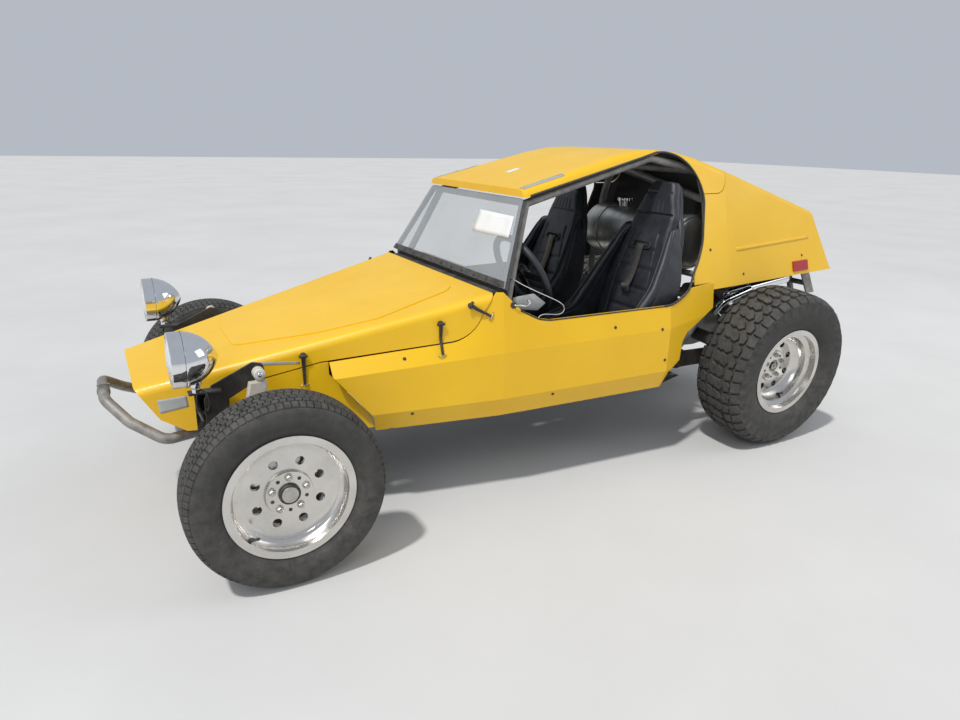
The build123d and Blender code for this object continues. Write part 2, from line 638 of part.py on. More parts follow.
axle = rod(tuple(axle_in), tuple(axle_mid), 34) + rod(tuple(axle_mid), tuple(axle_out), 28)
axle += rod(tuple(hub_centre - lean_dir * 61.5), tuple(hub_centre - lean_dir * 66), 116)
axle = axle + spring_plate - gearbox
write("rear_suspension", both_sides(largest(axle)))
engine = block(-1690, -1260, -engine_half, engine_half, engine_z0, 620)
power_train = fillet(engine.edges().filter_by(Axis.X), 40) + gearbox
write("engine_and_gearbox", power_train)

# Roll cage: main hoop with a diagonal, roof bars, screen posts and rear stays
left_leg = [(hoop_x, 305, 1278), (hoop_x, 372, 1130), (hoop_x, 440, 760), (hoop_x, 428, 620),
            (torsion_x, 360, torsion_z + 20)]
hoop = pipe([(x, -y, z) for x, y, z in reversed(left_leg)] + left_leg, cage_radius,
            [90, 300, 300, 70, 70, 300, 300, 90])
hoop -= rod((torsion_x, -torsion_half_width, torsion_z), (torsion_x, torsion_half_width, torsion_z),
            torsion_radius + 0.3)
hoop_joint_z = 1180
above_joint = block(hoop_x - 200, hoop_x + 200, -700, 700, hoop_joint_z, 1500)


def corner_rod(start, end, radius):
    # A straight tube with a round end, where the next tube is welded on
    return rod(start, end, radius) + Pos(*end) * Sphere(radius)


bar_radius, cross_radius = cage_radius - 3, cage_radius - 4
tank_bar_z, seat_bar_z = tank_z - tank_radius - 24, 688
bars = [
    rod((hoop_x, 385, 1140), (hoop_x, -297, 1285), bar_radius),
    rod((hoop_x, -436, tank_bar_z), (hoop_x, 436, tank_bar_z), cross_radius),
    rod((hoop_x, -441, seat_bar_z), (hoop_x, 441, seat_bar_z), cross_radius),
]
for side in (1, -1):
    roof_corner, screen_corner = (-440, 318 * side, 1330), (235, 378 * side, 1157)
    knee, stay_corner = (post_x, 492 * side, 815), (-1480, 235 * side, 1050)
    bars += [
        corner_rod((hoop_x, 305 * side, 1278), roof_corner, bar_radius),
        corner_rod(roof_corner, screen_corner, bar_radius),
        corner_rod(screen_corner, knee, bar_radius),
        rod(knee, (post_x, 500 * side, pan_z + pan_thickness + 0.8), bar_radius),
        corner_rod((hoop_x, 290 * side, 1270), stay_corner, bar_radius),
        rod(stay_corner, (-1640, 262 * side, 560), bar_radius),
        side_plate([(-1500, 795), (-1562, 795), (-1655, 640), (-1593, 640)],
                   brace_y * side - 4, brace_y * side + 4),
    ]
bars.append(rod((-1600, -brace_y, 690), (-1600, brace_y, 690), cage_radius - 5))
cage = [hoop & above_joint] + (hoop - above_joint).solids()
for bar in bars:
    cage.append(largest(without(bar, cage)))
wire_clip = cord_seat(wire_route, 5, 12) + rod((343, 468, 888), (355.5, 483, 890), 4)
cage.append(largest(without(wire_clip, cage)))
write("roll_cage", cage)

# Screen: flat clear sheet, black side posts, riveted lower strip
screen_low, screen_high = (418, 538, 862), (266.8, 406, 1176)
screen_thickness = 5
screen_face = make_face(Polyline(*[
    (screen_low[0], screen_low[1], screen_low[2]), (screen_high[0], screen_high[1], screen_high[2]),
    (screen_high[0], -screen_high[1], screen_high[2]), (screen_low[0], -screen_low[1], screen_low[2])],
    close=True))
screen = extrude(screen_face, amount=screen_thickness / 2, both=True)
write("windscreen", screen)
screen_up = (Vector(screen_high[0], 0, screen_high[2]) - Vector(screen_low[0], 0, screen_low[2]))
screen_length = screen_up.length
screen_plane = Plane(origin=(screen_low[0], 0, screen_low[2]), x_dir=(0, 1, 0),
                     z_dir=Vector(0, 1, 0).cross(screen_up.normalized()))


def on_screen(points, near, far):
    # A bar lying on the screen: (y, height up the screen) outline, between two offsets along its normal
    face = make_face(Polyline(*[(a, b, near) for a, b in points], close=True))
    return screen_plane * extrude(face, amount=far - near, dir=(0, 0, 1))


normal_sign = 1 if screen_plane.z_dir.X > 0 else -1
edge_slope = (screen_high[1] - screen_low[1]) / screen_length
behind = [-normal_sign * (screen_thickness / 2 + 0.3 + d) for d in (0, 15)]
front = [normal_sign * (screen_thickness / 2 + 0.3 + d) for d in (0, 3)]
post_width = 24
post = on_screen([(screen_low[1], 0), (screen_low[1] + edge_slope * screen_length, screen_length),
                  (screen_low[1] + edge_slope * screen_length - post_width, screen_length),
                  (screen_low[1] - post_width, 0)], *behind)
rails = [on_screen([(screen_low[1] - 20, 4), (screen_low[1] - 28, 26), (-screen_low[1] + 28, 26),
                    (-screen_low[1] + 20, 4)], *behind),
         on_screen([(screen_high[1] - 4, screen_length - 22), (screen_high[1] - 10, screen_length + 3),
                    (-screen_high[1] + 10, screen_length + 3), (-screen_high[1] + 4, screen_length - 22)], *behind)]
strip = on_screen([(screen_low[1] - 2, 2), (screen_low[1] - 14, 26),
                   (-screen_low[1] + 14, 26), (-screen_low[1] + 2, 2)], *front)
write("windscreen_frame", [post + mirror(post, Plane.XZ) + rails[0] + rails[1], strip])

# Cowl, dash and firewall
cowl_half = cowl_half_width - 12
cowl = block(395, 401, -cowl_half, cowl_half, 640, 857) + block(395, 445, -500, 500, 836, 841.2)
column_hole = rod(tuple(column_start), tuple(column_end), 16.3)
write("cowl_panel", cowl - column_hole)
dash_half, dash_low, dash_high = 440, 700, 851
dash = (block(300, 305, -dash_half, dash_half, dash_low, dash_high)
        + block(305, 394.7, -dash_half, dash_half, dash_high - 5, dash_high))
write("dash_panel", dash - column_hole)

# Seats: one-piece high-back buckets with side wings, plain closed solids
seat_floor_z = pan_z + pan_thickness + 3.3


def seat_front(inset):
    # Front view of a seat: wide at the hips, narrow at the headrest
    half = [
        # half width, z
        (seat_half - 38, seat_floor_z - 2), (seat_half - 38, 440), (seat_half, 560), (seat_half, 800),
        (seat_half - 56, 1020), (seat_half - 93, 1078), (104, 1155), (84, 1215), (60, 1242),
    ]
    outline = [(inset - w, z) for w, z in half] + [(w - inset, z) for w, z in reversed(half)]
    return extrude(Plane.YZ.offset(-700) * make_face(Polyline(*outline, close=True)), amount=900)


def seat_solid():
    side = [(55, seat_floor_z), (62, 560), (40, 598), (-60, 606), (-300, 572), (-338, 600), (-440, 950),
            (-488, 1080), (-505, 1155), (-530, 1225), (-552, 1240), (-588, 1228), (-585, 1155), (-560, 1050),
            (-520, 900), (-455, 600), (-440, seat_floor_z)]
    wing = [(-20, 600), (-204, 655), (-318, 792), (-400, 930), (-455, 1032), (-500, 1056), (-520, 900),
            (-455, 600), (-440, 540), (-60, 540)]
    wings = side_plate(wing, -seat_half, seat_half) & (seat_front(0) - seat_front(seat_wing))
    return (side_plate(side, -seat_half, seat_half) & seat_front(0)) + wings


seat = seat_solid()
write("driver_seat", Pos(0, seat_y, 0) * seat)
write("passenger_seat", Pos(passenger_seat_forward, -seat_y, -passenger_seat_drop) * seat
      - block(-800, 400, -800, 0, seat_floor_z - 200, seat_floor_z))

# Fuel tank lying across behind the seats, on saddles over the hoop's cross tube
tank = rod((tank_x, -tank_length / 2, tank_z), (tank_x, tank_length / 2, tank_z), tank_radius)
tank = fillet(tank.edges().filter_by(GeomType.CIRCLE), 14)
tank += rod((tank_x, -160, tank_z + tank_radius - 6), (tank_x, -160, tank_z + tank_radius + 26), 30)
bands = []
for y in (-240, 240):
    band = revolve(make_face(Polyline((0, y - 15, tank_radius - 3), (0, y + 15, tank_radius - 3),
                                      (0, y + 15, tank_radius + 3), (0, y - 15, tank_radius + 3), close=True)),
                   Axis.Y)
    bands.append(Pos(tank_x, 0, tank_z) * band
                 + block(hoop_x - 14, tank_x + 40, y - 15, y + 15, tank_bar_z + cross_radius + 0.3,
                         tank_z - tank_radius + 8))
write("fuel_tank", tank + bands[0] + bands[1])

# Headlamps on swivel mounts above the towers
lamp_y, lamp_z, lamp_front_x, lamp_radius = 461, 716, beam_x + 123, 90
bullet = revolve(make_face([
    Line((0, 0), (0, 78)), Line((0, 78), (6, lamp_radius)), Line((6, lamp_radius), (-16, lamp_radius)),
    ThreePointArc((-16, lamp_radius), (-104, 58), (-140, 0)), Line((-140, 0), (0, 0))]), Axis.X)
swivel = (Pos(-62, 0, -90) * Sphere(16) + Pos(-62, 0, -102) * Cylinder(9, 26)
          + Pos(-62, 0, -82) * Cylinder(20, 12))
lamp = Pos(lamp_front_x, lamp_y, lamp_z) * (bullet + swivel)
for route in cable_routes:
    lamp += cord_seat(route, 4, 13)
write("headlamps", both_sides(lamp))
lamp_foot_z = lamp_z - 115.3
bracket_y = beam_half_width + tower_thickness + 0.6
bracket = (block(beam_x - 15, beam_x + 85, bracket_y, bracket_y + 40, lamp_foot_z - 6, lamp_foot_z)
           + block(beam_x - 15, beam_x + 31, bracket_y, bracket_y + 5, 545, lamp_foot_z - 6))
write("headlamp_brackets", both_sides(bracket))


def cord(points, diameter):
    # Straight runs joined by arcs that are as large as the runs allow
    corners = [Vector(*point) for point in points]
    radii = []
    for before, corner, after in zip(corners, corners[1:], corners[2:]):
        half_turn = math.radians((corner - before).get_angle(after - corner)) / 2
        radii.append(0.45 * min((corner - before).length, (after - corner).length) / math.tan(half_turn))
    path = FilletPolyline(*points, radius=radii)
    tube = sweep(Plane(origin=path @ 0, z_dir=path % 0) * Circle(diameter / 2), path)
    full = math.pi * diameter ** 2 / 4 * path.length
    print("cord", round(path.length), "mm long, radii", [round(r) for r in radii],
          "volume over section times length", round(tube.volume / full, 3))
    return tube


write("cabin_wire", cord(wire_route, wire_diameter))
write("headlamp_cables", both_sides(*[cord(route, cable_diameter) for route in cable_routes]))

# Front bumper: one bent tube from the beam, down, forward and across
bar_x = overall_length / 2 - bumper_clamp_radius
half_loop = [(beam_x + beam_tube_radius + 0.3, 236, beam_upper_z), (beam_x + 57, 250, 378),
             (beam_x + 155, 268, 374), (beam_x + 257, 205, 436), (bar_x, 120, 500)]
loop_points = half_loop + [(x, -y, z) for x, y, z in reversed(half_loop)]
bumper = pipe(loop_points, bumper_radius, [24, 60, 70, 70, 70, 70, 60, 24])
bumper = largest(bumper - Pos(0.3, 0, 0) * beam_tubes[0])
clamp = rod((bar_x, 6, 500), (bar_x, 34, 500), bumper_clamp_radius)
clamp += block(bar_x - 12, bar_x + 10, 12, 28, 500, 530)
clamp += rod((bar_x - 22, 20, 524), (bar_x + 19, 20, 524), 4)
write("front_bumper", bumper + clamp)

# Marker lamps follow the tail's side, tail lamps its rear face
lamp_band = cabin_volume(-6) - cabin_volume(-0.3)
markers = lamp_band & block(-1545, -1405, -800, 800, 776, 826)
rear_dir = Vector(tail_lower_x - tail_shoulder_x, 0, tail_lower_z - roof_z(tail_shoulder_x)).normalized()
rear_normal = Vector(rear_dir.Z, 0, -rear_dir.X)
rear_mid = Vector(tail_shoulder_x, 0, roof_z(tail_shoulder_x)) + rear_dir * 185
lamps = []
for y in (-215, 215):
    plane = Plane(origin=rear_mid + Vector(0, y, 0) + rear_normal * 0.3, z_dir=rear_normal)
    lamps.append(plane * Cylinder(48, 22, align=(Align.CENTER, Align.CENTER, Align.MIN)))
write("rear_lamps", lamps + markers.solids())

# Exhaust: two pipes a side from the engine's front, round and back into a collector under the tail
exhaust_routes = [
    # start, knee, turn, top of the turn, collector inlet, pipe radius, bends
    ((-1275, 186, 505), (-1120, 215, 525), (-960, 330, 590), (-940, 385, 652), (-1135, 386, 704),
     16, [80, 60, 38]),
    ((-1275, 186, 570), (-1130, 240, 600), (-1025, 330, 650), (-1000, 352, 690), (-1135, 362, 712),
     16, [80, 40, 22]),
]
exhaust = rod((-1120, 374, 706), (-1400, 372, 738), 27)
for *points, radius, bends in exhaust_routes:
    exhaust += pipe(points, radius, bends)
exhaust -= rod((-1130, 374, 707), (-1401, 372, 738.1), 23)
write("exhaust_headers", both_sides(largest(exhaust - power_train)))

# Rubber straps with hooks that pull the hood down over the seam
def hood_strap(x, turn, points):
    # A band following (y, z) points down the left side, turned about the upright to lie on the panel
    outline = points + [(y + 4, z) for y, z in reversed(points)]
    band = extrude(make_face(Polyline(*[(0, y, z) for y, z in outline], close=True)), amount=11, both=True)
    (top_y, top_z), (low_y, low_z) = points[0], points[-1]
    band += block(-15, 15, top_y, top_y + 9, top_z - 12, top_z)
    band += block(-15, 15, low_y, low_y + 9, low_z, low_z + 12)
    return Pos(x, top_y, 0) * Rot(0, 0, turn) * Pos(0, -top_y, 0) * band


def side_y(x, z):
    # The wedge's side at a height
    return hood_half(x) + (low_half(x) - hood_half(x)) * (hood_z(x) - z) / (hood_z(x) - body_floor_z)


strap_turn = -math.degrees(math.atan((cowl_half_width - nose_half_width) / (hood_tip_x - cowl_x)))
front_strap = hood_strap(1146, strap_turn - 1, [(side_y(1146, 656) + 0.9, 656),
                                                (side_y(1146, 545) + 0.9, 545)])
rear_strap = hood_strap(660, strap_turn + 1, [(side_y(660, 745) + 0.9, 745), (side_y(660, 680) + 1.2, 680),
                                              (529, 622)])
write("hood_straps", both_sides(front_strap, rear_strap))

# Gear lever on the tunnel and pedals on the floor
floor_top = pan_z + pan_thickness + 0.3
lever = rod((60, 0, tunnel_z1 + 2), (20, 0, 742), 7)
lever += rod((60, 0, tunnel_z1 + 0.3), (60, 0, tunnel_z1 + 12), 34)
lever += Pos(20, 0, 752) * Sphere(24)
controls = [lever]
for y, width in ((200, 60), (290, 60), (385, 44)):
    foot = block(690, 720, y - 14, y + 14, floor_top, floor_top + 20)
    controls.append(foot + rod((705, y, floor_top + 10), (650, y, 520), 7)
                    + Pos(646, y, 530) * Rot(0, -20, 0) * Box(8, width, 70))
write("driver_controls", controls)
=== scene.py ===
import bpy
import bmesh
import math
from mathutils import Matrix, Vector, noise
from mathutils.bvhtree import BVHTree


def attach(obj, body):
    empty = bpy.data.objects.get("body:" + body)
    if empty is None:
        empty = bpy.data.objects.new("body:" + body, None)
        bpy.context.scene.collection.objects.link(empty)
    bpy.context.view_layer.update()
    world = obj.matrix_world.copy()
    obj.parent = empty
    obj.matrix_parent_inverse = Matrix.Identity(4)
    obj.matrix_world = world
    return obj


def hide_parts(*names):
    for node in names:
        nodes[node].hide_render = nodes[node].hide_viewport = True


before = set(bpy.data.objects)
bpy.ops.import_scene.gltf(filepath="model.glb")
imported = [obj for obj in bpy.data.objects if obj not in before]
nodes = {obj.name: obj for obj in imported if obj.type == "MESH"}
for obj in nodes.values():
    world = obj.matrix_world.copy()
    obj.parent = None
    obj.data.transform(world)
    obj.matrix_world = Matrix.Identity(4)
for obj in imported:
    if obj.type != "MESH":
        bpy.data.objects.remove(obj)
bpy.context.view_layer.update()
full_turn = 2 * math.pi
forward, leftward, upward = Vector((1, 0, 0)), Vector((0, 1, 0)), Vector((0, 0, 1))


# Camera, solved from the wheel rims, the sills and the screen corners
camera_at = Vector((1.7526, 2.7254, 1.4026))
camera_yaw, camera_pitch, camera_roll = -0.5151, 0.3107, 0.0232
focal_px, picture_width = 694.58, 960
sensor_width = 36  # millimetres


def set_camera():
    ahead = Vector((math.sin(camera_yaw) * math.cos(camera_pitch), -math.cos(camera_yaw) * math.cos(camera_pitch),
                    -math.sin(camera_pitch)))
    right = ahead.cross(upward).normalized()
    above = right.cross(ahead)
    c, s = math.cos(camera_roll), math.sin(camera_roll)
    x_axis, y_axis = c * right + s * above, c * above - s * right
    data = bpy.data.cameras.new("camera")
    data.sensor_width = sensor_width
    data.lens = focal_px / picture_width * sensor_width
    camera = bpy.data.objects.new("camera", data)
    turn = Matrix((x_axis, y_axis, -ahead)).transposed()
    camera.matrix_world = Matrix.Translation(camera_at) @ turn.to_4x4()
    bpy.context.scene.collection.objects.link(camera)
    bpy.context.scene.camera = camera


set_camera()


# Finishes: three shared groups, placed in each material with its own values
def add_node(tree, kind, settings=None, **inputs):
    node = tree.nodes.new(kind)
    for key, value in (settings or {}).items():
        setattr(node, key, value)
    for key, value in inputs.items():
        wire(tree, value, node.inputs[key.replace("_", " ")])
    return node


def wire(tree, value, socket):
    if isinstance(value, bpy.types.NodeSocket):
        tree.links.new(value, socket)
    elif isinstance(value, tuple) and len(value) == 3 and socket.type == "RGBA":
        socket.default_value = (*value, 1)
    else:
        socket.default_value = value


def mixed(tree, kind, factor, a, b):
    # kind is RGBA or FLOAT
    node = add_node(tree, "ShaderNodeMix", {"data_type": kind})
    first = 6 if kind == "RGBA" else 2
    for socket, value in ((node.inputs[0], factor), (node.inputs[first], a), (node.inputs[first + 1], b)):
        wire(tree, value, socket)
    return node.outputs[first // 3]


def spread(tree, value, low, high, to_low=0.0, to_high=1.0):
    node = add_node(tree, "ShaderNodeMapRange", None, Value=value)
    for socket, number in zip(node.inputs[1:5], (low, high, to_low, to_high)):
        wire(tree, number, socket)
    return node.outputs[0]


def times(tree, a, b):
    node = add_node(tree, "ShaderNodeMath", {"operation": "MULTIPLY"})
    wire(tree, a, node.inputs[0])
    wire(tree, b, node.inputs[1])
    return node.outputs[0]


def start_group(name, inputs, outputs):
    tree = bpy.data.node_groups.new(name, "ShaderNodeTree")
    for label, kind in inputs:
        tree.interface.new_socket(label, in_out="INPUT", socket_type="NodeSocket" + kind)
    for label, kind in outputs:
        tree.interface.new_socket(label, in_out="OUTPUT", socket_type="NodeSocket" + kind)
    given = {socket.name: socket for socket in tree.nodes.new("NodeGroupInput").outputs if socket.name}
    result = {socket.name: socket for socket in tree.nodes.new("NodeGroupOutput").inputs if socket.name}
    return tree, given, result


def make_surface_group():
    # Broad mottling of colour and gloss, and a fine grain that stands up
    tree, given, result = start_group("mottled_grain", [
        ("Color", "Color"), ("Other Color", "Color"), ("Mottle", "Float"), ("Stretch", "Vector"), ("Smooth", "Float"),
        ("Dull", "Float"), ("Grain", "Float"), ("Grain Height", "Float")],
        [("Color", "Color"), ("Roughness", "Float"), ("Normal", "Vector")])
    where = add_node(tree, "ShaderNodeTexCoord").outputs["Object"]
    placed = add_node(tree, "ShaderNodeMapping", None, Vector=where, Scale=given["Stretch"]).outputs[0]
    broad = add_node(tree, "ShaderNodeTexNoise", None, Vector=placed, Scale=given["Mottle"], Detail=5.0,
                     Roughness=0.6).outputs[0]
    fine = add_node(tree, "ShaderNodeTexNoise", None, Vector=placed, Scale=given["Grain"], Detail=3.0).outputs[0]
    tree.links.new(mixed(tree, "RGBA", spread(tree, broad, 0.35, 0.68), given["Color"], given["Other Color"]),
                   result["Color"])
    tree.links.new(spread(tree, broad, 0.3, 0.7, given["Smooth"], given["Dull"]), result["Roughness"])
    raised = add_node(tree, "ShaderNodeBump", None, Height=fine, Strength=given["Grain Height"], Distance=0.002)
    tree.links.new(raised.outputs[0], result["Normal"])
    return tree


splash_full_z, splash_end_z = 0.30, 0.62


def make_dust_group():
    # Dust in patches, thickest on faces that look up, and dirt thrown up low down
    tree, given, result = start_group("settled_dust", [
        ("Color", "Color"), ("Roughness", "Float"), ("Dust Color", "Color"), ("Amount", "Float"), ("Scale", "Float")],
        [("Color", "Color"), ("Roughness", "Float")])
    coordinates = add_node(tree, "ShaderNodeTexCoord")
    facing = add_node(tree, "ShaderNodeSeparateXYZ", None, Vector=coordinates.outputs["Normal"]).outputs[2]
    height = add_node(tree, "ShaderNodeSeparateXYZ", None, Vector=coordinates.outputs["Object"]).outputs[2]
    low = spread(tree, height, splash_full_z, splash_end_z, 0.75, 0.0)
    top = spread(tree, facing, -0.2, 1.0, 0.25, 1.0)
    most = add_node(tree, "ShaderNodeMath", {"operation": "MAXIMUM"})
    tree.links.new(low, most.inputs[0])
    tree.links.new(top, most.inputs[1])
    patches = add_node(tree, "ShaderNodeTexNoise", None, Vector=coordinates.outputs["Object"], Scale=given["Scale"],
                       Detail=8.0, Roughness=0.7).outputs[0]
    amount = times(tree, times(tree, spread(tree, patches, 0.35, 0.75), most.outputs[0]), given["Amount"])
    tree.links.new(mixed(tree, "RGBA", amount, given["Color"], given["Dust Color"]), result["Color"])
    tree.links.new(mixed(tree, "FLOAT", amount, given["Roughness"], 0.85), result["Roughness"])
    return tree


shell_middle_z = 0.55


def make_inner_shade_group():
    # Painted shade: the faces of a shell that look towards the car's centre line are darkened, standing in for the
    # shade inside the body
    tree, given, result = start_group("shell_inner_shade", [
        ("Color", "Color"), ("Roughness", "Float"), ("Inner Color", "Color")],
        [("Color", "Color"), ("Roughness", "Float")])
    coordinates = add_node(tree, "ShaderNodeTexCoord")
    from_middle = add_node(tree, "ShaderNodeMapping", None, Vector=coordinates.outputs["Object"],
                           Location=(0, 0, -shell_middle_z), Scale=(0, 1, 1)).outputs[0]
    direction = add_node(tree, "ShaderNodeVectorMath", {"operation": "NORMALIZE"}, Vector=from_middle).outputs[0]
    dot = add_node(tree, "ShaderNodeVectorMath", {"operation": "DOT_PRODUCT"})
    tree.links.new(direction, dot.inputs[0])
    tree.links.new(coordinates.outputs["Normal"], dot.inputs[1])
    # mask of the painted shade: faces turned towards the centre line
    inner_shade = spread(tree, dot.outputs["Value"], -0.22, -0.30)
    tree.links.new(mixed(tree, "RGBA", inner_shade, given["Color"], given["Inner Color"]), result["Color"])
    tree.links.new(mixed(tree, "FLOAT", inner_shade, given["Roughness"], 0.75), result["Roughness"])
    return tree


mottled_grain, settled_dust, shell_inner_shade = make_surface_group(), make_dust_group(), make_inner_shade_group()


def surface(name, color, other=None, mottle=4.0, rough=(0.35, 0.5), metal=0.0, grain=250.0, bump=0.08, coat=0.0,
            dust=0.0, dust_color=(0.42, 0.36, 0.27), stretch=(1, 1, 1), alpha=1.0, inner_shade=None):
    mat = bpy.data.materials.new(name)
    mat.use_nodes = True
    tree = mat.node_tree
    shader = tree.nodes["Principled BSDF"]
    base = add_node(tree, "ShaderNodeGroup", {"node_tree": mottled_grain}, Color=color,
                    Other_Color=other or tuple(0.86 * c for c in color), Mottle=mottle, Stretch=stretch,
                    Smooth=rough[0], Dull=rough[1], Grain=grain, Grain_Height=bump)
    shown = base
    # painted shade on the inner faces of a shell
    if inner_shade:
        shown = add_node(tree, "ShaderNodeGroup", {"node_tree": shell_inner_shade}, Color=shown.outputs["Color"],
                         Roughness=shown.outputs["Roughness"], Inner_Color=inner_shade)
    if dust:
        shown = add_node(tree, "ShaderNodeGroup", {"node_tree": settled_dust}, Color=shown.outputs["Color"],
                         Roughness=shown.outputs["Roughness"], Dust_Color=dust_color, Amount=dust,
                         Scale=mottle * 3.1)
    tree.links.new(shown.outputs["Color"], shader.inputs["Base Color"])
    tree.links.new(shown.outputs["Roughness"], shader.inputs["Roughness"])
    tree.links.new(base.outputs["Normal"], shader.inputs["Normal"])
    shader.inputs["Metallic"].default_value = metal
    shader.inputs["Coat Weight"].default_value = coat
    shader.inputs["Coat Roughness"].default_value = 0.08
    shader.inputs["Alpha"].default_value = alpha
    return mat


mats = {
    # the yellow's inner colour is painted shade for the insides of the shells
    "yellow": surface("gel_coat_yellow", (0.84, 0.500, 0.003), (0.79, 0.450, 0.002), mottle=2.2, rough=(0.34, 0.46),
                      grain=420, bump=0.03, coat=0.10, dust=0.06, inner_shade=(0.022, 0.020, 0.018)),
    "tyre": surface("tyre_rubber", (0.024, 0.024, 0.023), (0.040, 0.039, 0.036), mottle=9, rough=(0.62, 0.85),
                    grain=350, bump=0.25, dust=0.42, dust_color=(0.22, 0.20, 0.17)),
    "alloy": surface("polished_alloy", (0.72, 0.70, 0.67), (0.60, 0.585, 0.56), mottle=7, rough=(0.12, 0.30),
                     metal=1.0, grain=500, bump=0.04, dust=0.18),
    "black": surface("satin_black_paint", (0.018, 0.018, 0.019), (0.032, 0.031, 0.03), mottle=8, rough=(0.34, 0.55),
                     grain=300, bump=0.1, dust=0.35),
    "worn": surface("worn_grey_tube", (0.17, 0.165, 0.155), (0.33, 0.32, 0.30), mottle=26, rough=(0.40, 0.62),
                    metal=0.35, grain=240, bump=0.25, dust=0.25),
    "beige": surface("faded_cream_paint", (0.62, 0.58, 0.50), (0.50, 0.46, 0.38), mottle=14, rough=(0.5, 0.7),
                     grain=300, bump=0.15, dust=0.3),
    "iron": surface("oily_casting", (0.05, 0.048, 0.045), (0.10, 0.09, 0.08), mottle=18, rough=(0.4, 0.7), metal=0.5,
                    grain=160, bump=0.4, dust=0.4),
    "cast_alloy": surface("dull_casting", (0.38, 0.375, 0.36), (0.27, 0.26, 0.24), mottle=12, rough=(0.45, 0.65),
                          metal=0.8, grain=170, bump=0.35, dust=0.35),
    "brushed": surface("brushed_alloy", (0.60, 0.60, 0.57), (0.46, 0.46, 0.44), mottle=6, rough=(0.28, 0.44),
                       metal=1.0, grain=160, bump=0.12, stretch=(1, 14, 1), dust=0.1),
    "chrome": surface("bright_chrome", (0.82, 0.83, 0.85), (0.72, 0.73, 0.75), mottle=9, rough=(0.03, 0.10), metal=1.0,
                      grain=500, bump=0.02, dust=0.05),
    "plastic": surface("smooth_black_plastic", (0.014, 0.014, 0.015), mottle=10, rough=(0.35, 0.5), grain=300,
                       bump=0.08, dust=0.1),
    "vinyl": surface("black_vinyl", (0.013, 0.0145, 0.018), (0.022, 0.0245, 0.030), mottle=12, rough=(0.34, 0.52),
                     grain=520, bump=0.35, dust=0.14, dust_color=(0.17, 0.18, 0.20)),
    "clear": surface("hazy_clear_sheet", (0.50, 0.53, 0.55), (0.42, 0.45, 0.47), mottle=3, rough=(0.10, 0.26),
                     alpha=0.40, grain=60, bump=0.03),
    "red": surface("red_lens", (0.42, 0.008, 0.010), (0.34, 0.004, 0.008), mottle=30, rough=(0.20, 0.34), grain=240,
                   bump=0.2, coat=0.3),
    # near-black: the headlamps' seam lines, and painted shade filling the belt slots
    "hollow": surface("dark_seam_and_hole_shade", (0.004, 0.004, 0.004), (0.008, 0.008, 0.008), mottle=20, rough=(0.7, 0.9)),
    "white": surface("white_plastic", (0.74, 0.73, 0.69), (0.66, 0.65, 0.60), mottle=18, rough=(0.4, 0.6), dust=0.15),
    "tan": surface("tan_webbing", (0.20, 0.165, 0.12), (0.15, 0.12, 0.085), mottle=30, rough=(0.7, 0.9), grain=700,
                   bump=0.5, dust=0.2),
    "webbing": surface("black_webbing", (0.02, 0.02, 0.021), (0.035, 0.035, 0.035), mottle=30, rough=(0.7, 0.9),
                       grain=700, bump=0.5, dust=0.2),
    "tape": surface("grey_tape", (0.40, 0.41, 0.41), (0.31, 0.32, 0.32), mottle=16, rough=(0.4, 0.6), grain=420,
                    bump=0.3, dust=0.25),
    "paper": surface("blank_sheet", (0.80, 0.80, 0.78), (0.72, 0.72, 0.70), mottle=7, rough=(0.55, 0.7), grain=90,
                     bump=0.1),
    "zinc": surface("zinc_bolt", (0.55, 0.54, 0.50), (0.42, 0.40, 0.36), mottle=40, rough=(0.25, 0.45), metal=1.0,
                    bump=0.15, dust=0.2),
    "rubber": surface("black_rubber", (0.014, 0.013, 0.013), (0.03, 0.027, 0.024), mottle=22, rough=(0.5, 0.75),
                      grain=260, bump=0.3, dust=0.25),
    "lens": surface("lamp_lens", (0.74, 0.77, 0.79), (0.64, 0.68, 0.70), mottle=12, rough=(0.04, 0.10), grain=40,
                    bump=0.05, coat=1.0),
}
node_mats = {
    "yellow": ["hood", "left_side_panel", "right_side_panel", "roof_panel", "tail_cover"],
    "tyre": ["front_left_tyre", "front_right_tyre", "rear_left_tyre", "rear_right_tyre"],
    "alloy": ["front_left_rim", "front_right_rim", "rear_left_rim", "rear_right_rim"],
    "black": ["front_beam", "shock_towers", "trailing_arms", "left_knuckle", "right_knuckle", "pitman_arm", "tie_rod",
              "steering_column", "backbone_frame", "floor_pans", "rear_suspension", "windscreen_frame",
              "cowl_panel", "headlamp_brackets", "driver_controls"],
    "worn": ["front_bumper", "roll_cage"],
    "beige": ["front_shocks"],
    "iron": ["steering_box"],
    "cast_alloy": ["engine_and_gearbox"],
    "brushed": ["fuel_tank"],
    "chrome": ["headlamps", "exhaust_headers"],
    "plastic": ["steering_wheel", "dash_panel"],
    "vinyl": ["driver_seat", "passenger_seat"],
    "clear": ["windscreen"],
    "red": ["rear_lamps"],
    "rubber": ["hood_straps", "headlamp_cables"],
    "white": ["cabin_wire"],
}
for kind, names in node_mats.items():
    for name in names:
        data = nodes[name].data
        data.materials.clear()
        data.materials.append(mats[kind])


# Mesh work
def finish(name, work, mat, body="chassis", sharp=40, thick=0.0):
    # The worked shape becomes a piece on its body; thick gives a sheet its thickness
    bmesh.ops.remove_doubles(work, verts=work.verts, dist=1e-6)
    bmesh.ops.recalc_face_normals(work, faces=work.faces)
    data = bpy.data.meshes.new(name)
    work.to_mesh(data)
    work.free()
    data.materials.append(mats[mat])
    data.shade_smooth()
    if sharp:
        data.set_sharp_from_angle(angle=math.radians(sharp))
    piece = bpy.data.objects.new(name, data)
    bpy.context.scene.collection.objects.link(piece)
    if thick:
        wall = piece.modifiers.new("wall", "SOLIDIFY")
        wall.thickness = thick
        wall.offset = 0
    return settle(piece, body)


def settle(piece, body):
    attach(piece, body)
    return piece


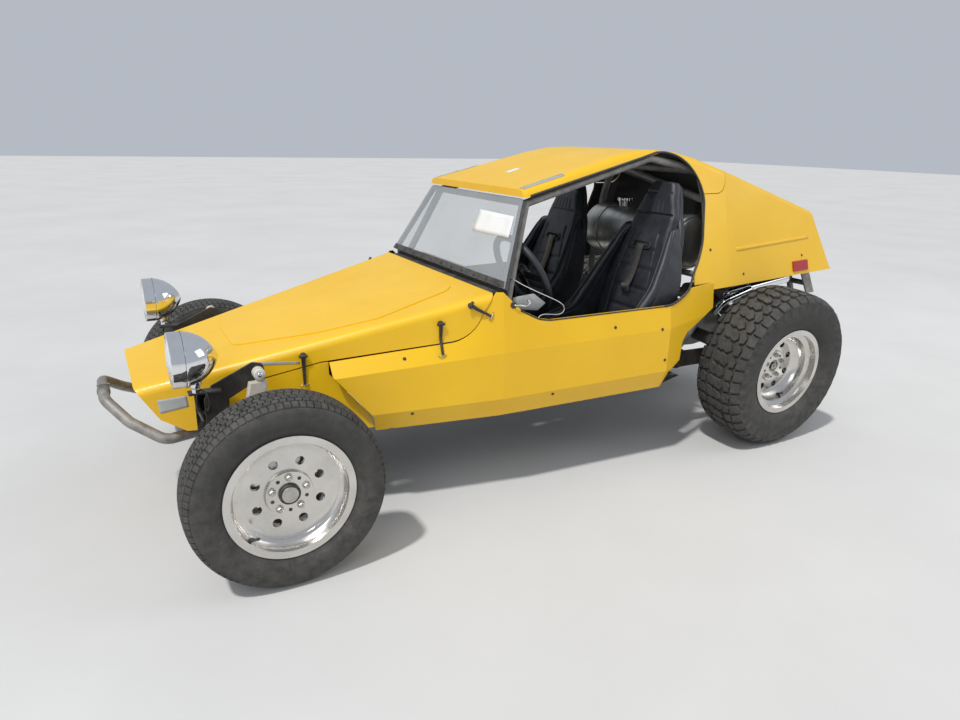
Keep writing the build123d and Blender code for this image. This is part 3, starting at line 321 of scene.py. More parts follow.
def spin(work, rows, seat, steps=32, closed=False):
    # Rows of (along, radius) turned once about the seat's own Y axis
    verts = [work.verts.new(seat @ Vector((0, y, r))) for y, r in rows]
    loop = verts + verts[:1] if closed else verts
    edges = [work.edges.new(pair) for pair in zip(loop, loop[1:])]
    bmesh.ops.spin(work, geom=verts + edges, cent=seat.translation, axis=(seat.to_3x3() @ leftward).normalized(),
                   dvec=(0, 0, 0), angle=full_turn, steps=steps, use_merge=True, use_normal_flip=False,
                   use_duplicate=False)


def facing(origin, axis):
    # A seat whose Y axis points along axis
    return Matrix.Translation(origin) @ Vector(axis).to_track_quat("Y", "Z").to_matrix().to_4x4()


def turned(name, rows, seat, mat, body="chassis", steps=48, sharp=35, closed=False):
    work = bmesh.new()
    spin(work, rows, seat, steps, closed)
    return finish(name, work, mat, body, sharp)


def bevelled(work, edges, offset):
    bmesh.ops.bevel(work, geom=edges, offset=offset, segments=2, profile=0.5, affect="EDGES", material=-1)


def rounded_block(name, middle, size, offset, mat, turn=0.0):
    work = bmesh.new()
    seat = Matrix.Translation(middle) @ Matrix.Rotation(turn, 4, "Y") @ Matrix.Diagonal((*size, 1))
    bmesh.ops.create_cube(work, size=1.0, matrix=seat)
    bevelled(work, work.edges[:], offset)
    return finish(name, work, mat, sharp=35)


def verts_in(parts):
    return [part for part in parts if isinstance(part, bmesh.types.BMVert)]


def grid(work, across, along, place):
    # A grid whose vertices go where place(u, t) says, for u and t from 0 to 1
    verts = bmesh.ops.create_grid(work, x_segments=across, y_segments=along, size=0.5)["verts"]
    for v in verts:
        v.co = place(v.co.x + 0.5, v.co.y + 0.5)
    return verts


def tube(name, points, radius, mat, body="chassis", resolution=3, cyclic=False):
    curve = bpy.data.curves.new(name, "CURVE")
    curve.dimensions = "3D"
    curve.bevel_depth = radius
    curve.bevel_resolution = resolution
    curve.use_fill_caps = True
    spline = curve.splines.new("NURBS")
    spline.points.add(len(points) - 1)
    for knot, p in zip(spline.points, points):
        knot.co = (*p, 1)
    spline.order_u = 3
    spline.use_endpoint_u = not cyclic
    spline.use_cyclic_u = cyclic
    curve.materials.append(mats[mat])
    piece = bpy.data.objects.new(name, curve)
    bpy.context.scene.collection.objects.link(piece)
    return settle(piece, body)


def between(table, value):
    # Straight-line reading of (key, value) pairs
    for (k0, v0), (k1, v1) in zip(table, table[1:]):
        if k0 <= value <= k1:
            return v0 + (v1 - v0) * (value - k0) / (k1 - k0)
    return table[-1][1] if value > table[-1][0] else table[0][1]


def curve_at(points, t):
    # A smooth line through the points, for t from 0 to 1
    s = t * (len(points) - 1)
    i = min(int(s), len(points) - 2)
    p0, p1, p2, p3 = points[max(i - 1, 0)], points[i], points[i + 1], points[min(i + 2, len(points) - 1)]
    f = s - i
    return 0.5 * (2 * p1 + (p2 - p0) * f + (2 * p0 - 5 * p1 + 4 * p2 - p3) * f ** 2
                  + (3 * p1 - p0 - 3 * p2 + p3) * f ** 3)


# Cords: the routes of the CAD model
def cord(name, node, points, diameter, mat):
    piece = tube(name, points, diameter / 2, mat, resolution=4)
    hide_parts(node)
    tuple(points[0])
    spline_length(piece)


def spline_length(piece):
    # Length of a cord's own smooth line
    line = piece.data.copy()
    line.bevel_depth = 0
    bare = bpy.data.objects.new("measure", line)
    data = bpy.data.meshes.new_from_object(bare)
    total = sum((data.vertices[a].co - data.vertices[b].co).length for a, b in (e.vertices for e in data.edges))
    bpy.data.objects.remove(bare)
    bpy.data.meshes.remove(data)
    bpy.data.curves.remove(line)
    return total


wire_diameter, cable_diameter = 0.003, 0.005
wire_route = [
    (0.350, 0.489, 0.886), (0.320, 0.503, 0.866), (0.285, 0.515, 0.848), (0.250, 0.524, 0.831), (0.215, 0.530, 0.815),
    (0.180, 0.533, 0.799), (0.153, 0.534, 0.785), (0.134, 0.533, 0.770), (0.127, 0.531, 0.754), (0.133, 0.529, 0.741),
    (0.148, 0.528, 0.735), (0.168, 0.528, 0.735), (0.192, 0.529, 0.739), (0.222, 0.530, 0.743), (0.243, 0.532, 0.741),
    (0.259, 0.539, 0.733), (0.268, 0.550, 0.724),
]
cable_routes = [
    [(1.516, 0.4723, 0.6135), (1.517, 0.4799, 0.6087), (1.5185, 0.4861, 0.6008), (1.5205, 0.4904, 0.5875),
     (1.5215, 0.4898, 0.5695), (1.520, 0.4833, 0.5516), (1.515, 0.4722, 0.5374), (1.506, 0.4605, 0.5285),
     (1.497, 0.450, 0.5235)],
    [(1.5062, 0.4666, 0.6135), (1.4995, 0.4715, 0.6095), (1.493, 0.480, 0.606), (1.487, 0.4865, 0.596),
     (1.483, 0.4875, 0.5805), (1.4815, 0.4835, 0.5635), (1.483, 0.475, 0.548), (1.485, 0.463, 0.537),
     (1.4845, 0.4505, 0.5315)],
]
sides = (("left", 1), ("right", -1))
cord("cabin_wire_cord", "cabin_wire", wire_route, wire_diameter, "white")
for i, route in enumerate(cable_routes):
    for side, sign in sides:
        cord(f"{side}_lamp_cable_{i + 1}", "headlamp_cables", [(x, sign * y, z) for x, y, z in route],
             cable_diameter, "rubber")


# Wheels: axle seats, with the outer side towards +Y before a mirror
rear_lean = math.radians(4.0)
front_hub, rear_hub = (1.305, 0.697, 0.320), (-1.055, 0.622, 0.38285)
wheels = []
for side, sign in sides:
    flip = Matrix.Scale(sign, 4, (0, 1, 0))
    wheels.append(("front", side, flip @ Matrix.Translation(front_hub)))
    wheels.append(("rear", side, flip @ Matrix.Translation(rear_hub) @ Matrix.Rotation(-rear_lean, 4, "X")))

# Tyre profiles as (across, radius) rows
crowns = {
    "front": [(-0.084, 0.300), (-0.078, 0.3065), (-0.068, 0.3135), (-0.052, 0.3180), (-0.03, 0.3196), (0, 0.320),
              (0.03, 0.3196), (0.052, 0.3180), (0.068, 0.3135), (0.078, 0.3065), (0.084, 0.300)],
    "rear": [(-0.1325, 0.330), (-0.127, 0.349), (-0.117, 0.362), (-0.098, 0.371), (-0.06, 0.3765), (0, 0.378),
             (0.06, 0.3765), (0.098, 0.371), (0.117, 0.362), (0.127, 0.349), (0.1325, 0.330)],
}
walls = {
    "front": [(0.068, 0.1912), (0.0700, 0.2090), (0.0735, 0.2145), (0.0772, 0.2180), (0.0780, 0.2215),
              (0.0830, 0.2260), (0.0875, 0.2350), (0.0915, 0.2530), (0.0922, 0.2660), (0.0910, 0.2800),
              (0.0880, 0.2920), (0.0840, 0.3000)],
    "rear": [(0.100, 0.1912), (0.1020, 0.2090), (0.1080, 0.2160), (0.1170, 0.2260), (0.1265, 0.2450),
             (0.1310, 0.2700), (0.1325, 0.2930), (0.1315, 0.3120), (0.1290, 0.3270)],
}
tread_depths = {"front": 0.0075, "rear": 0.0145}
block_root = 0.001  # how deep the blocks stand in the carcass


def row_block(y0, y1, skew, gap, offset, kink):
    # One block of a row round the tyre; skew slants it and kink bends its sides
    low, high, middle = offset + gap / 2, offset + 1 - gap / 2, (y0 + y1) / 2
    return [(low, y0), (low + skew + kink, middle), (low + skew, y1), (high + skew, y1),
            (high + skew + kink, middle), (high, y0)]


front_blocks = [row_block(*row) for row in [
    # across from, to, skew, gap, offset, kink
    (-0.0800, -0.0590, 0.06, 0.15, 0.00, 0.00), (-0.0560, -0.0360, -0.10, 0.14, 0.30, 0.04),
    (-0.0330, -0.0140, 0.12, 0.14, 0.05, 0.05), (-0.0110, 0.0110, 0.00, 0.14, 0.45, 0.08),
    (0.0140, 0.0330, -0.12, 0.14, 0.25, -0.05), (0.0360, 0.0560, 0.10, 0.14, 0.55, -0.04),
    (0.0590, 0.0800, -0.06, 0.15, 0.35, 0.00)]]
rear_half = [
    [(0.02, 0.006), (0.10, 0.034), (0.34, 0.050), (0.50, 0.036), (0.44, 0.010), (0.22, -0.010)],
    [(0.56, 0.002), (0.62, 0.030), (0.86, 0.046), (1.00, 0.024), (0.90, -0.002), (0.74, -0.018)],
    [(0.14, 0.046), (0.06, 0.072), (0.22, 0.088), (0.44, 0.084), (0.50, 0.062), (0.36, 0.056)],
    [(0.60, 0.052), (0.54, 0.074), (0.72, 0.090), (0.96, 0.086), (1.00, 0.066), (0.86, 0.052)],
    [(0.03, 0.093), (0.00, 0.1120), (0.03, 0.1265), (0.42, 0.1265), (0.46, 0.1120), (0.43, 0.091)],
    [(0.53, 0.096), (0.50, 0.1130), (0.53, 0.1300), (0.92, 0.1300), (0.96, 0.1130), (0.93, 0.094)],
]
rear_blocks = rear_half + [[(1.0 - t, -y) for t, y in outline] for outline in rear_half]
patterns = {
    # outlines of one step, steps round the tyre, size of a block's top against its foot
    "front": (front_blocks, 84, 0.97), "rear": (rear_blocks, 20, 0.92),
}
chamfer = 0.0012


def raise_block(work, outline, depth, top_size):
    # A flat outline of (share of a step, across) raised to the tread's height and drawn in
    face = work.faces.new([work.verts.new((t, y, -depth)) for t, y in outline])
    middle = face.calc_center_median()
    for rise, size in ((depth - chamfer, top_size), (chamfer, 0.94)):
        out = bmesh.ops.extrude_face_region(work, geom=[face])["geom"]
        face = next(part for part in out if isinstance(part, bmesh.types.BMFace))
        bmesh.ops.translate(work, verts=face.verts, vec=(0, 0, rise))
        for v in face.verts:
            v.co.xy = middle.xy + (v.co.xy - middle.xy) * size


def tread(kind, seat):
    # One step's blocks, laid in a line and then bent round the tyre
    outlines, steps, top_size = patterns[kind]
    work = bmesh.new()
    for outline in outlines:
        raise_block(work, outline, tread_depths[kind], top_size)
    step = work.verts[:] + work.edges[:] + work.faces[:]
    for i in range(1, steps):
        copy = bmesh.ops.duplicate(work, geom=step)["geom"]
        bmesh.ops.translate(work, verts=verts_in(copy), vec=(i, 0, 0))
    for v in work.verts:
        angle, radius = full_turn * v.co.x / steps, between(crowns[kind], v.co.y) + v.co.z
        v.co = seat @ Vector((radius * math.sin(angle), v.co.y, radius * math.cos(angle)))
    return work


rib_rows = [(0.1300, 0.344, 0.016), (0.1322, 0.326, 0.014), (0.1330, 0.306, 0.010)]
rib_steps = [(-1.0, -0.0030), (-0.6, 0.0), (0.6, 0.0), (1.0, -0.0030)]
rib_count, rib_depth = 40, 0.004


def wall_ribs(work, seat):
    # Slim raised ribs down both upper side walls, below the shoulder lugs
    for i in range(rib_count):
        for sign in (1, -1):
            turn = full_turn * (i + 0.5 * (sign < 0)) / rib_count

            def place(u, t):
                y, r, half = rib_rows[round(t * 2)]
                offset, lift = rib_steps[round(u * 3)]
                angle = turn + offset * half / r
                return seat @ Vector((r * math.sin(angle), sign * (y + lift), r * math.cos(angle)))

            before = len(work.faces)
            grid(work, 3, 2, place)
            work.faces.ensure_lookup_table()
            sunk = bmesh.ops.extrude_face_region(work, geom=work.faces[before:], use_keep_orig=True)["geom"]
            bmesh.ops.translate(work, verts=verts_in(sunk), vec=seat.to_3x3() @ Vector((0, -sign * rib_depth, 0)))


def build_tyre(kind, side, seat):
    name, body, depth = f"{kind}_{side}_tyre", f"{kind}_{side}_wheel", tread_depths[kind] - block_root
    crown, wall = crowns[kind], walls[kind]
    rows = wall + [(y, r - depth) for y, r in reversed(crown[1:-1])] + [(-y, r) for y, r in reversed(wall)]
    carcass = turned(name + "_carcass", rows, seat, "tyre", body, 128, 50, closed=True)
    work = tread(kind, seat)
    if kind == "rear":
        wall_ribs(work, seat)
    finish(name + "_tread", work, "tyre", body, sharp=28)
    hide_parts(name)


lug_count, lug_circle, valve_out = 5, 0.057, 0.0195
rim_faces = {
    # the disc's place across, then the valve's distance from the hub and its angle in degrees
    "front": (0.040, 0.176, 133), "rear": (0.020, 0.160, 200),
}


def wheel_fittings(kind, side, seat):
    # Lug nuts, spare holes, the hub's cap or nut and a valve
    disc, valve_radius, valve_turn = rim_faces[kind]
    body, name = f"{kind}_{side}_wheel", f"{kind}_{side}_rim"
    bright, dark = bmesh.new(), bmesh.new()
    for i in range(lug_count):
        for share, is_nut in ((0, True), (0.5, False)):
            angle = full_turn * (i + share) / lug_count
            spot = seat @ Matrix.Translation((lug_circle * math.sin(angle), disc, lug_circle * math.cos(angle)))
            if is_nut:
                spin(bright, [(0.0, 0.0105), (0.011, 0.0105), (0.013, 0.0085), (0.013, 0.006), (0.017, 0.006),
                              (0.0185, 0.0)], spot, 6)
                spin(bright, [(0.0, 0.013), (0.0022, 0.013), (0.0028, 0.009), (0.0, 0.009)], spot, 20, closed=True)
            else:
                spin(dark, [(-0.001, 0.0), (-0.001, 0.0062), (0.0004, 0.0062), (0.0006, 0.0)], spot, 20)
    middle = seat @ Matrix.Translation((0, disc, 0))
    if kind == "front":
        spin(dark, [(-0.001, 0.029), (-0.001, 0.034), (0.008, 0.0345), (0.0115, 0.032), (0.0115, 0.029)], middle, 40,
             closed=True)
        spin(bright, [(-0.001, 0.0), (-0.001, 0.0285), (0.009, 0.0285), (0.0125, 0.0265), (0.0140, 0.0200),
                      (0.0128, 0.0175), (0.0150, 0.009), (0.0155, 0.0)], middle, 48)
    else:
        spin(bright, [(-0.030, 0.0), (-0.030, 0.0190), (0.004, 0.0190), (0.007, 0.016), (0.007, 0.008),
                      (0.012, 0.007), (0.013, 0.0)], middle, 6)
    finish(name + "_nuts", bright, "zinc", body, sharp=35)
    finish(name + "_dark", dark, "rubber", body, sharp=35)
    angle = math.radians(valve_turn)
    radial = Vector((math.sin(angle), 0, math.cos(angle)))
    root = Vector((0, disc + valve_out, 0)) + radial * valve_radius
    aim = (leftward * 0.8 - radial * 0.6).normalized()
    turned(f"{kind}_{side}_valve", [(-0.006, 0.0), (-0.006, 0.0075), (0.006, 0.0072), (0.010, 0.0042),
                                    (0.026, 0.0040), (0.027, 0.0050), (0.036, 0.0050), (0.038, 0.0)],
           seat @ facing(root, aim), "rubber", body, 16)


for kind, side, seat in wheels:
    build_tyre(kind, side, seat)
    wheel_fittings(kind, side, seat)


# Lines and patches on the body are dropped onto the CAD panels
def surface_trees(names):
    trees = []
    for name in names:
        data = nodes[name].data
        trees.append(BVHTree.FromPolygons([v.co for v in data.vertices], [tuple(p.vertices) for p in data.polygons]))
    return trees


def drop(trees, start, direction):
    # First point of the surfaces along a ray, and its outward direction.
    # A ray that slips between two faces is tried once more, a hair to the side.
    hits = []
    for shift in (0, 0.0003):
        hits = hits or [h for h in (tree.ray_cast(Vector(start) + Vector((shift,) * 3), Vector(direction))
                                    for tree in trees) if h[0] is not None]
    if not hits:
        return None
    point, normal = min(hits, key=lambda h: h[3])[:2]
    return point, normal if normal.dot(Vector(direction)) < 0 else -normal


def arc(a, m, b, count):
    # Points on the circle through three side-view points
    (ax, ay), (bx, by), (cx, cy) = a, m, b
    d = 2 * (ax * (by - cy) + bx * (cy - ay) + cx * (ay - by))
    ux = ((ax ** 2 + ay ** 2) * (by - cy) + (bx ** 2 + by ** 2) * (cy - ay) + (cx ** 2 + cy ** 2) * (ay - by)) / d
    uy = ((ax ** 2 + ay ** 2) * (cx - bx) + (bx ** 2 + by ** 2) * (ax - cx) + (cx ** 2 + cy ** 2) * (bx - ax)) / d
    r = math.hypot(ax - ux, ay - uy)
    t0, tm, t1 = (math.atan2(y - uy, x - ux) for x, y in (a, m, b))
    tm = t0 + (tm - t0 + math.pi) % full_turn - math.pi
    t1 = tm + (t1 - tm + math.pi) % full_turn - math.pi
    return [(ux + r * math.cos(t0 + (t1 - t0) * i / count), uy + r * math.sin(t0 + (t1 - t0) * i / count))
            for i in range(count + 1)]


def along(points, step):
    # The same open line with a point about every step
    out = []
    for a, b in zip(points, points[1:]):
        a, b = Vector(a), Vector(b)
        n = max(1, round((b - a).length / step))
        out += [a + (b - a) * i / n for i in range(n)]
    return out + [Vector(points[-1])]


panels = surface_trees(["roof_panel", "tail_cover", "left_side_panel", "right_side_panel", "hood"])
opening_top = [(0.236, 1.1875), (-0.455, 1.3545)]
opening_rear = (arc((-0.462, 1.3545), (-0.6385, 1.3000), (-0.7165, 1.150), 14)
                + [(-0.6865, 0.985)] + arc((-0.6865, 0.985), (-0.594, 0.8355), (-0.345, 0.7355), 14)[1:])
opening_sill = [(-0.345, 0.7345), (0.222, 0.7275), (0.271, 0.7355), (0.352, 0.7755)]
seam_x, seam_z = -0.8635, 1.1785
tongue = [(-0.722, seam_z), (-0.804, seam_z)]
tongue_end = arc((-0.8040, seam_z), (-0.8465, 1.1960), (seam_x, 1.2400), 8) + [(seam_x, 1.262)]


def side_line(points, lift=0.0, push=0.0, sign=1):
    # Side-view (x, z) points laid on the panels of one side
    line = []
    for x, z in points:
        hit = drop(panels, (x, sign, z), (0, -sign, 0))
        if hit:
            line.append(hit[0] + hit[1] * lift - Vector((0, sign * push, 0)))
    return line


opening_radius, sill_radius, seal_radius = 0.0052, 0.0035, 0.0048
edge_step, seam_step, above_roof, ahead_of_screen = 0.03, 0.02, 1.6, 0.9
for side, sign in sides:
    tube(f"{side}_opening_rubber", side_line(along(opening_top + opening_rear, edge_step), lift=0.001, push=0.002,
                                            sign=sign), opening_radius, "rubber")
    tube(f"{side}_sill_rubber", side_line(along(opening_sill, edge_step), lift=0.0005, push=0.002, sign=sign),
         sill_radius, "rubber")
seal_left = side_line(along(tongue, seam_step) + [Vector(p) for p in tongue_end])
seal_top = [drop(panels, (seam_x, 0.0225 * i, above_roof), -upward) for i in range(14, -15, -1)]
tube("roof_seal", seal_left + [hit[0] for hit in seal_top if hit]
     + [Vector((p.x, -p.y, p.z)) for p in reversed(seal_left)], seal_radius, "rubber")


def patch(name, corners, trees, direction, mat, body="chassis", lift=0.0008, thick=0.0006, cells=(10, 6)):
    # A thin four-cornered piece dropped onto a surface; its corners go round in order
    a, b, c, d = (Vector(p) for p in corners)
    aim = Vector(direction).normalized()

    def place(u, t):
        start = (a * (1 - u) + b * u) * (1 - t) + (d * (1 - u) + c * u) * t
        hit = drop(trees, start, aim)
        return hit[0] - aim * lift if hit else start

    work = bmesh.new()
    grid(work, *cells, place)
    return finish(name, work, mat, body, thick=thick)


hood_tree, roof_tree, tail_tree = (surface_trees([name]) for name in ("hood", "roof_panel", "tail_cover"))
screen_tree, frame_tree = surface_trees(["windscreen"]), surface_trees(["windscreen_frame"])
for side, sign in sides:
    beside = sign * 0.9
    patch(f"{side}_nose_tape", [(1.624, beside, 0.529), (1.532, beside, 0.5385), (1.528, beside, 0.4980),
                                (1.617, beside, 0.4800)], hood_tree, (0, -sign, 0), "tape", "hood_lid")
    patch(f"{side}_edge_tape", [(1.292, beside, 0.641), (1.160, beside, 0.634), (1.160, beside, 0.626),
                                (1.292, beside, 0.630)], hood_tree, (0, -sign, 0), "tape", "hood_lid")
    patch(f"{side}_tail_swage", [(-0.925, beside, 0.931), (-1.570, beside, 0.945), (-1.574, beside, 0.931),
                                 (-0.925, beside, 0.914)], tail_tree, (0, -sign, 0), "yellow", lift=0.0006,
          thick=0.0036, cells=(40, 3))
    patch(f"{side}_roof_edge_strip", [(x, sign * y, above_roof) for x, y in
                                      ((0.258, 0.366), (0.052, 0.352), (0.052, 0.378), (0.258, 0.393))], roof_tree,
          (0, 0, -1), "tape", lift=0.0010, thick=0.0016, cells=(16, 3))
patch("screen_sheet", [(ahead_of_screen, y, z) for y, z in
                       ((0.132, 1.114), (0.404, 1.112), (0.428, 1.034), (0.140, 1.030))], screen_tree, (-1, 0, 0),
      "paper", lift=0.0010, thick=0.0004)
patch("roof_sticker", [(x, y, above_roof) for x, y in
                       ((0.100, 0.025), (0.094, -0.020), (0.030, -0.022), (0.036, 0.018))], roof_tree, (0, 0, -1),
      "paper")


# Screws and bolts: (point, outward direction) pairs
def screws(name, places, radius, height, mat="zinc", body="chassis"):
    work = bmesh.new()
    for point, normal in places:
        spin(work, [(-0.001, 0.0), (-0.001, radius), (height * 0.4, radius), (height * 0.85, radius * 0.72),
                    (height, radius * 0.25), (height * 0.72, 0.0)], facing(point, normal), 12)
    return finish(name, work, mat, body, sharp=50)


screen_strip_z, screen_strip_x = 0.874, 0.38
strip_hits = [drop(frame_tree, (ahead_of_screen, -0.50 + 0.10 * i, screen_strip_z), -forward) for i in range(11)]
screws("strip_screws", [hit for hit in strip_hits if hit and hit[0].x > screen_strip_x], radius=0.0055,
       height=0.0035, mat="rubber")
roof_hits = [drop(roof_tree, (x, sign * (0.357 + 0.066 * x), above_roof), -upward)
             for x in (0.075, 0.155, 0.235) for side, sign in sides]
screws("roof_strip_screws", [(hit[0] + upward * 0.0015, hit[1]) for hit in roof_hits if hit], radius=0.0055,
       height=0.003)
side_bolts = [
    # side-view places on the body
    (0.803, 0.625), (0.780, 0.411), (0.196, 0.420), (-0.087, 0.671), (-0.970, 0.805), (-0.330, 0.640),
    (-0.360, 0.500), (-0.731, 0.933), (-1.500, 0.850),
]
bolt_hits = [drop(panels, (x, sign, z), (0, -sign, 0)) for x, z in side_bolts for side, sign in sides]
screws("panel_bolts", [hit for hit in bolt_hits if hit], radius=0.0065, height=0.0035, mat="rubber")
bolts, bushings = [], bmesh.new()
shock_eye = (1.320, 0.488, 0.642)
for side, sign in sides:
    eye = Vector((shock_eye[0], sign * shock_eye[1], shock_eye[2]))
    out = Vector((0, sign, 0))
    bolts.append((eye + out * 0.0048, out))
    spin(bushings, [(-0.001, 0.0), (-0.001, 0.0185), (0.0035, 0.0180), (0.0050, 0.0160), (0.0050, 0.0)],
         facing(eye, out), 32)
finish("shock_bushings", bushings, "white", sharp=35)
screws("tower_bolts", bolts, radius=0.0105, height=0.008, mat="chrome")


# Straps: flat bands along points, with a width that may taper
def strap(name, points, widths, thick, mat, body="chassis", side=(0, 1, 0)):
    line = [Vector(p) for p in points]
    across = Vector(side).normalized()
    work = bmesh.new()
    grid(work, 1, 8 * (len(line) - 1),
         lambda u, t: curve_at(line, t) + across * (u - 0.5) * (widths[0] + (widths[1] - widths[0]) * t))
    return finish(name, work, mat, body, thick=thick)


hood_latches = [
    # side-view top and foot of each strap, then the direction across it
    ((1.147, 0.656), (1.147, 0.547), (1, 0, 0)), ((0.662, 0.745), (0.664, 0.628), (1, 0, 0)),
    ((0.548, 0.806), (0.470, 0.762), (0.49, 0, -0.87)),
]
latch_lifts = (0.0125, 0.0105, 0.0085, 0.0075, 0.0070, 0.0062, 0.0050)  # off the panel, from the top down
handle_half, handle_radius, hook_half, hook_radius = 0.0145, 0.0058, 0.016, 0.0022
for side, sign in sides:
    for number, (top, foot, across) in enumerate(hood_latches, 1):
        last = len(latch_lifts) - 1
        spots = [(top[0] + (foot[0] - top[0]) * i / last, top[1] + (foot[1] - top[1]) * i / last)
                 for i in range(last + 1)]
        hits = [h for h in (drop(panels, (x, sign, z), (0, -sign, 0)) for x, z in spots) if h]
        line = [hit[0] + hit[1] * lift for hit, lift in zip(hits, latch_lifts)]
        out, name = hits[0][1], f"{side}_hood_strap_{number}"
        band = strap(name, line, (0.015, 0.008), 0.0035, "rubber", "hood_lid", across)
        if number < 3:
            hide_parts("hood_straps")
        middle, reach = line[0] + out * 0.002, Vector(across).normalized() * handle_half
        tube(name + "_handle", [middle - reach, middle, middle + reach], handle_radius, "rubber", "hood_lid")
        turned(name + "_post", [(-0.001, 0.0), (-0.001, 0.011), (0.003, 0.0105), (0.0045, 0.006), (0.011, 0.005),
                                (0.0125, 0.0)], facing(hits[0][0], out), "rubber", "hood_lid", 16)
        low, low_out = hits[-1]
        bar = Vector(across).normalized() * hook_half
        tube(name + "_hook", [low - bar, low - bar * 0.9 + low_out * 0.006, low + low_out * 0.0085,
                              low + bar * 0.9 + low_out * 0.006, low + bar], hook_radius, "zinc",
             "hood_lid")


# Padded pieces: rows from edge to edge, crowned between rounded rims, with pressed seams
def pad(name, rows, count, across, thick, rim, seams, crown=0.0, wrinkle=0.0):
    lefts, rights = [Vector(a) for a, b in rows], [Vector(b) for a, b in rows]
    step = 0.004
    length = sum((curve_at(lefts, (i + 1) / count) + curve_at(rights, (i + 1) / count)
                  - curve_at(lefts, i / count) - curve_at(rights, i / count)).length / 2 for i in range(count))
    lines = {}

    def line(t):
        if t not in lines:
            a, b = curve_at(lefts, t), curve_at(rights, t)
            ahead = curve_at(lefts, min(t + step, 1)) + curve_at(rights, min(t + step, 1))
            behind = curve_at(lefts, max(t - step, 0)) + curve_at(rights, max(t - step, 0))
            lines[t] = a, b, (b - a).cross(ahead - behind).normalized()
        return lines[t]

    def lift(u, t, a, b):
        width = (b - a).length
        fall = 1.0
        for distance in (min(u, 1 - u) * width, min(t, 1 - t) * length):
            fall *= math.sqrt(max(1 - (1 - min(distance / rim, 1.0)) ** 2, 0.0))
        height = thick / 2 * fall * (1 + crown * (math.sin(math.pi * u) * math.sin(math.pi * t) - 0.5))
        for kind, where, low, high, depth, reach in seams:
            value, other = (u, t) if kind == "u" else (t, u)
            if low <= other <= high:
                gap = abs(value - where) * (width if kind == "u" else length)
                height -= depth * math.exp(-(gap / reach) ** 2) * fall
        height += wrinkle * noise.noise((a + (b - a) * u) * 22) * fall
        return max(height, 0)

    work = bmesh.new()
    for face in (1, -1):
        def place(u, t):
            a, b, normal = line(round(t, 5))
            return a + (b - a) * u + normal * lift(u, t, a, b) * face

        grid(work, across, count, place)
    bmesh.ops.remove_doubles(work, verts=[v for v in work.verts if v.is_boundary], dist=2e-5)
    piece = finish(name, work, "vinyl", sharp=None)
    return piece


# Seat shapes from the driver's seat: (height, half width) and (height, forward place) tables
seat_half = [(0.370, 0.190), (0.440, 0.190), (0.560, 0.228), (0.800, 0.228), (1.020, 0.172), (1.078, 0.135),
             (1.155, 0.104), (1.215, 0.084), (1.242, 0.060)]
seat_face = [(0.600, -0.338), (0.950, -0.440), (1.080, -0.488), (1.155, -0.505), (1.225, -0.530), (1.240, -0.552)]
seat_rear = [(0.372, -0.440), (0.600, -0.455), (0.900, -0.520), (1.050, -0.560), (1.155, -0.585), (1.228, -0.588)]
wing_front = [(-0.03, 0.598), (-0.08, 0.618), (-0.15, 0.639), (-0.21, 0.662), (-0.265, 0.728), (-0.318, 0.792),
              (-0.360, 0.862), (-0.400, 0.930), (-0.430, 0.985), (-0.462, 1.032)]
wing_rear = [(-0.03, 0.548), (-0.10, 0.548), (-0.22, 0.550), (-0.36, 0.560), (-0.445, 0.620), (-0.468, 0.700),
             (-0.490, 0.800), (-0.508, 0.900), (-0.510, 0.980), (-0.505, 1.042)]
cushion_rows = [(0.044, 0.182, 0.535), (0.036, 0.184, 0.568), (-0.020, 0.184, 0.577), (-0.100, 0.184, 0.574),
                (-0.200, 0.184, 0.560), (-0.290, 0.184, 0.546), (-0.345, 0.184, 0.540)]
back_insets = [(0.585, 0.044), (0.66, 0.044), (0.74, 0.044), (0.82, 0.044), (0.90, 0.044), (0.97, 0.042),
               (1.03, 0.030), (1.075, 0.006), (1.11, 0.004), (1.155, 0.003), (1.195, 0.004), (1.226, 0.006)]
shell_insets = [(0.40, 0.006), (0.50, 0.010), (0.60, 0.008), (0.70, 0.008), (0.80, 0.010), (0.90, 0.008),
                (0.98, 0.008), (1.04, 0.008), (1.09, 0.008), (1.155, 0.008), (1.215, 0.010)]
seat_floor, cushion_foot, base_half = 0.3725, 0.532, 0.182
back_set_in, bolster_set_in, shell_set_in = 0.031, 0.021, 0.019
slot_z, slot_half_width, slot_half_height, slot_points = 0.955, 0.056, 0.015, 24
seat_places = [
    # name, forward, across, up
    ("driver", 0.0, 0.320, 0.0),
    ("passenger", 0.040, -0.320, -0.040),
]


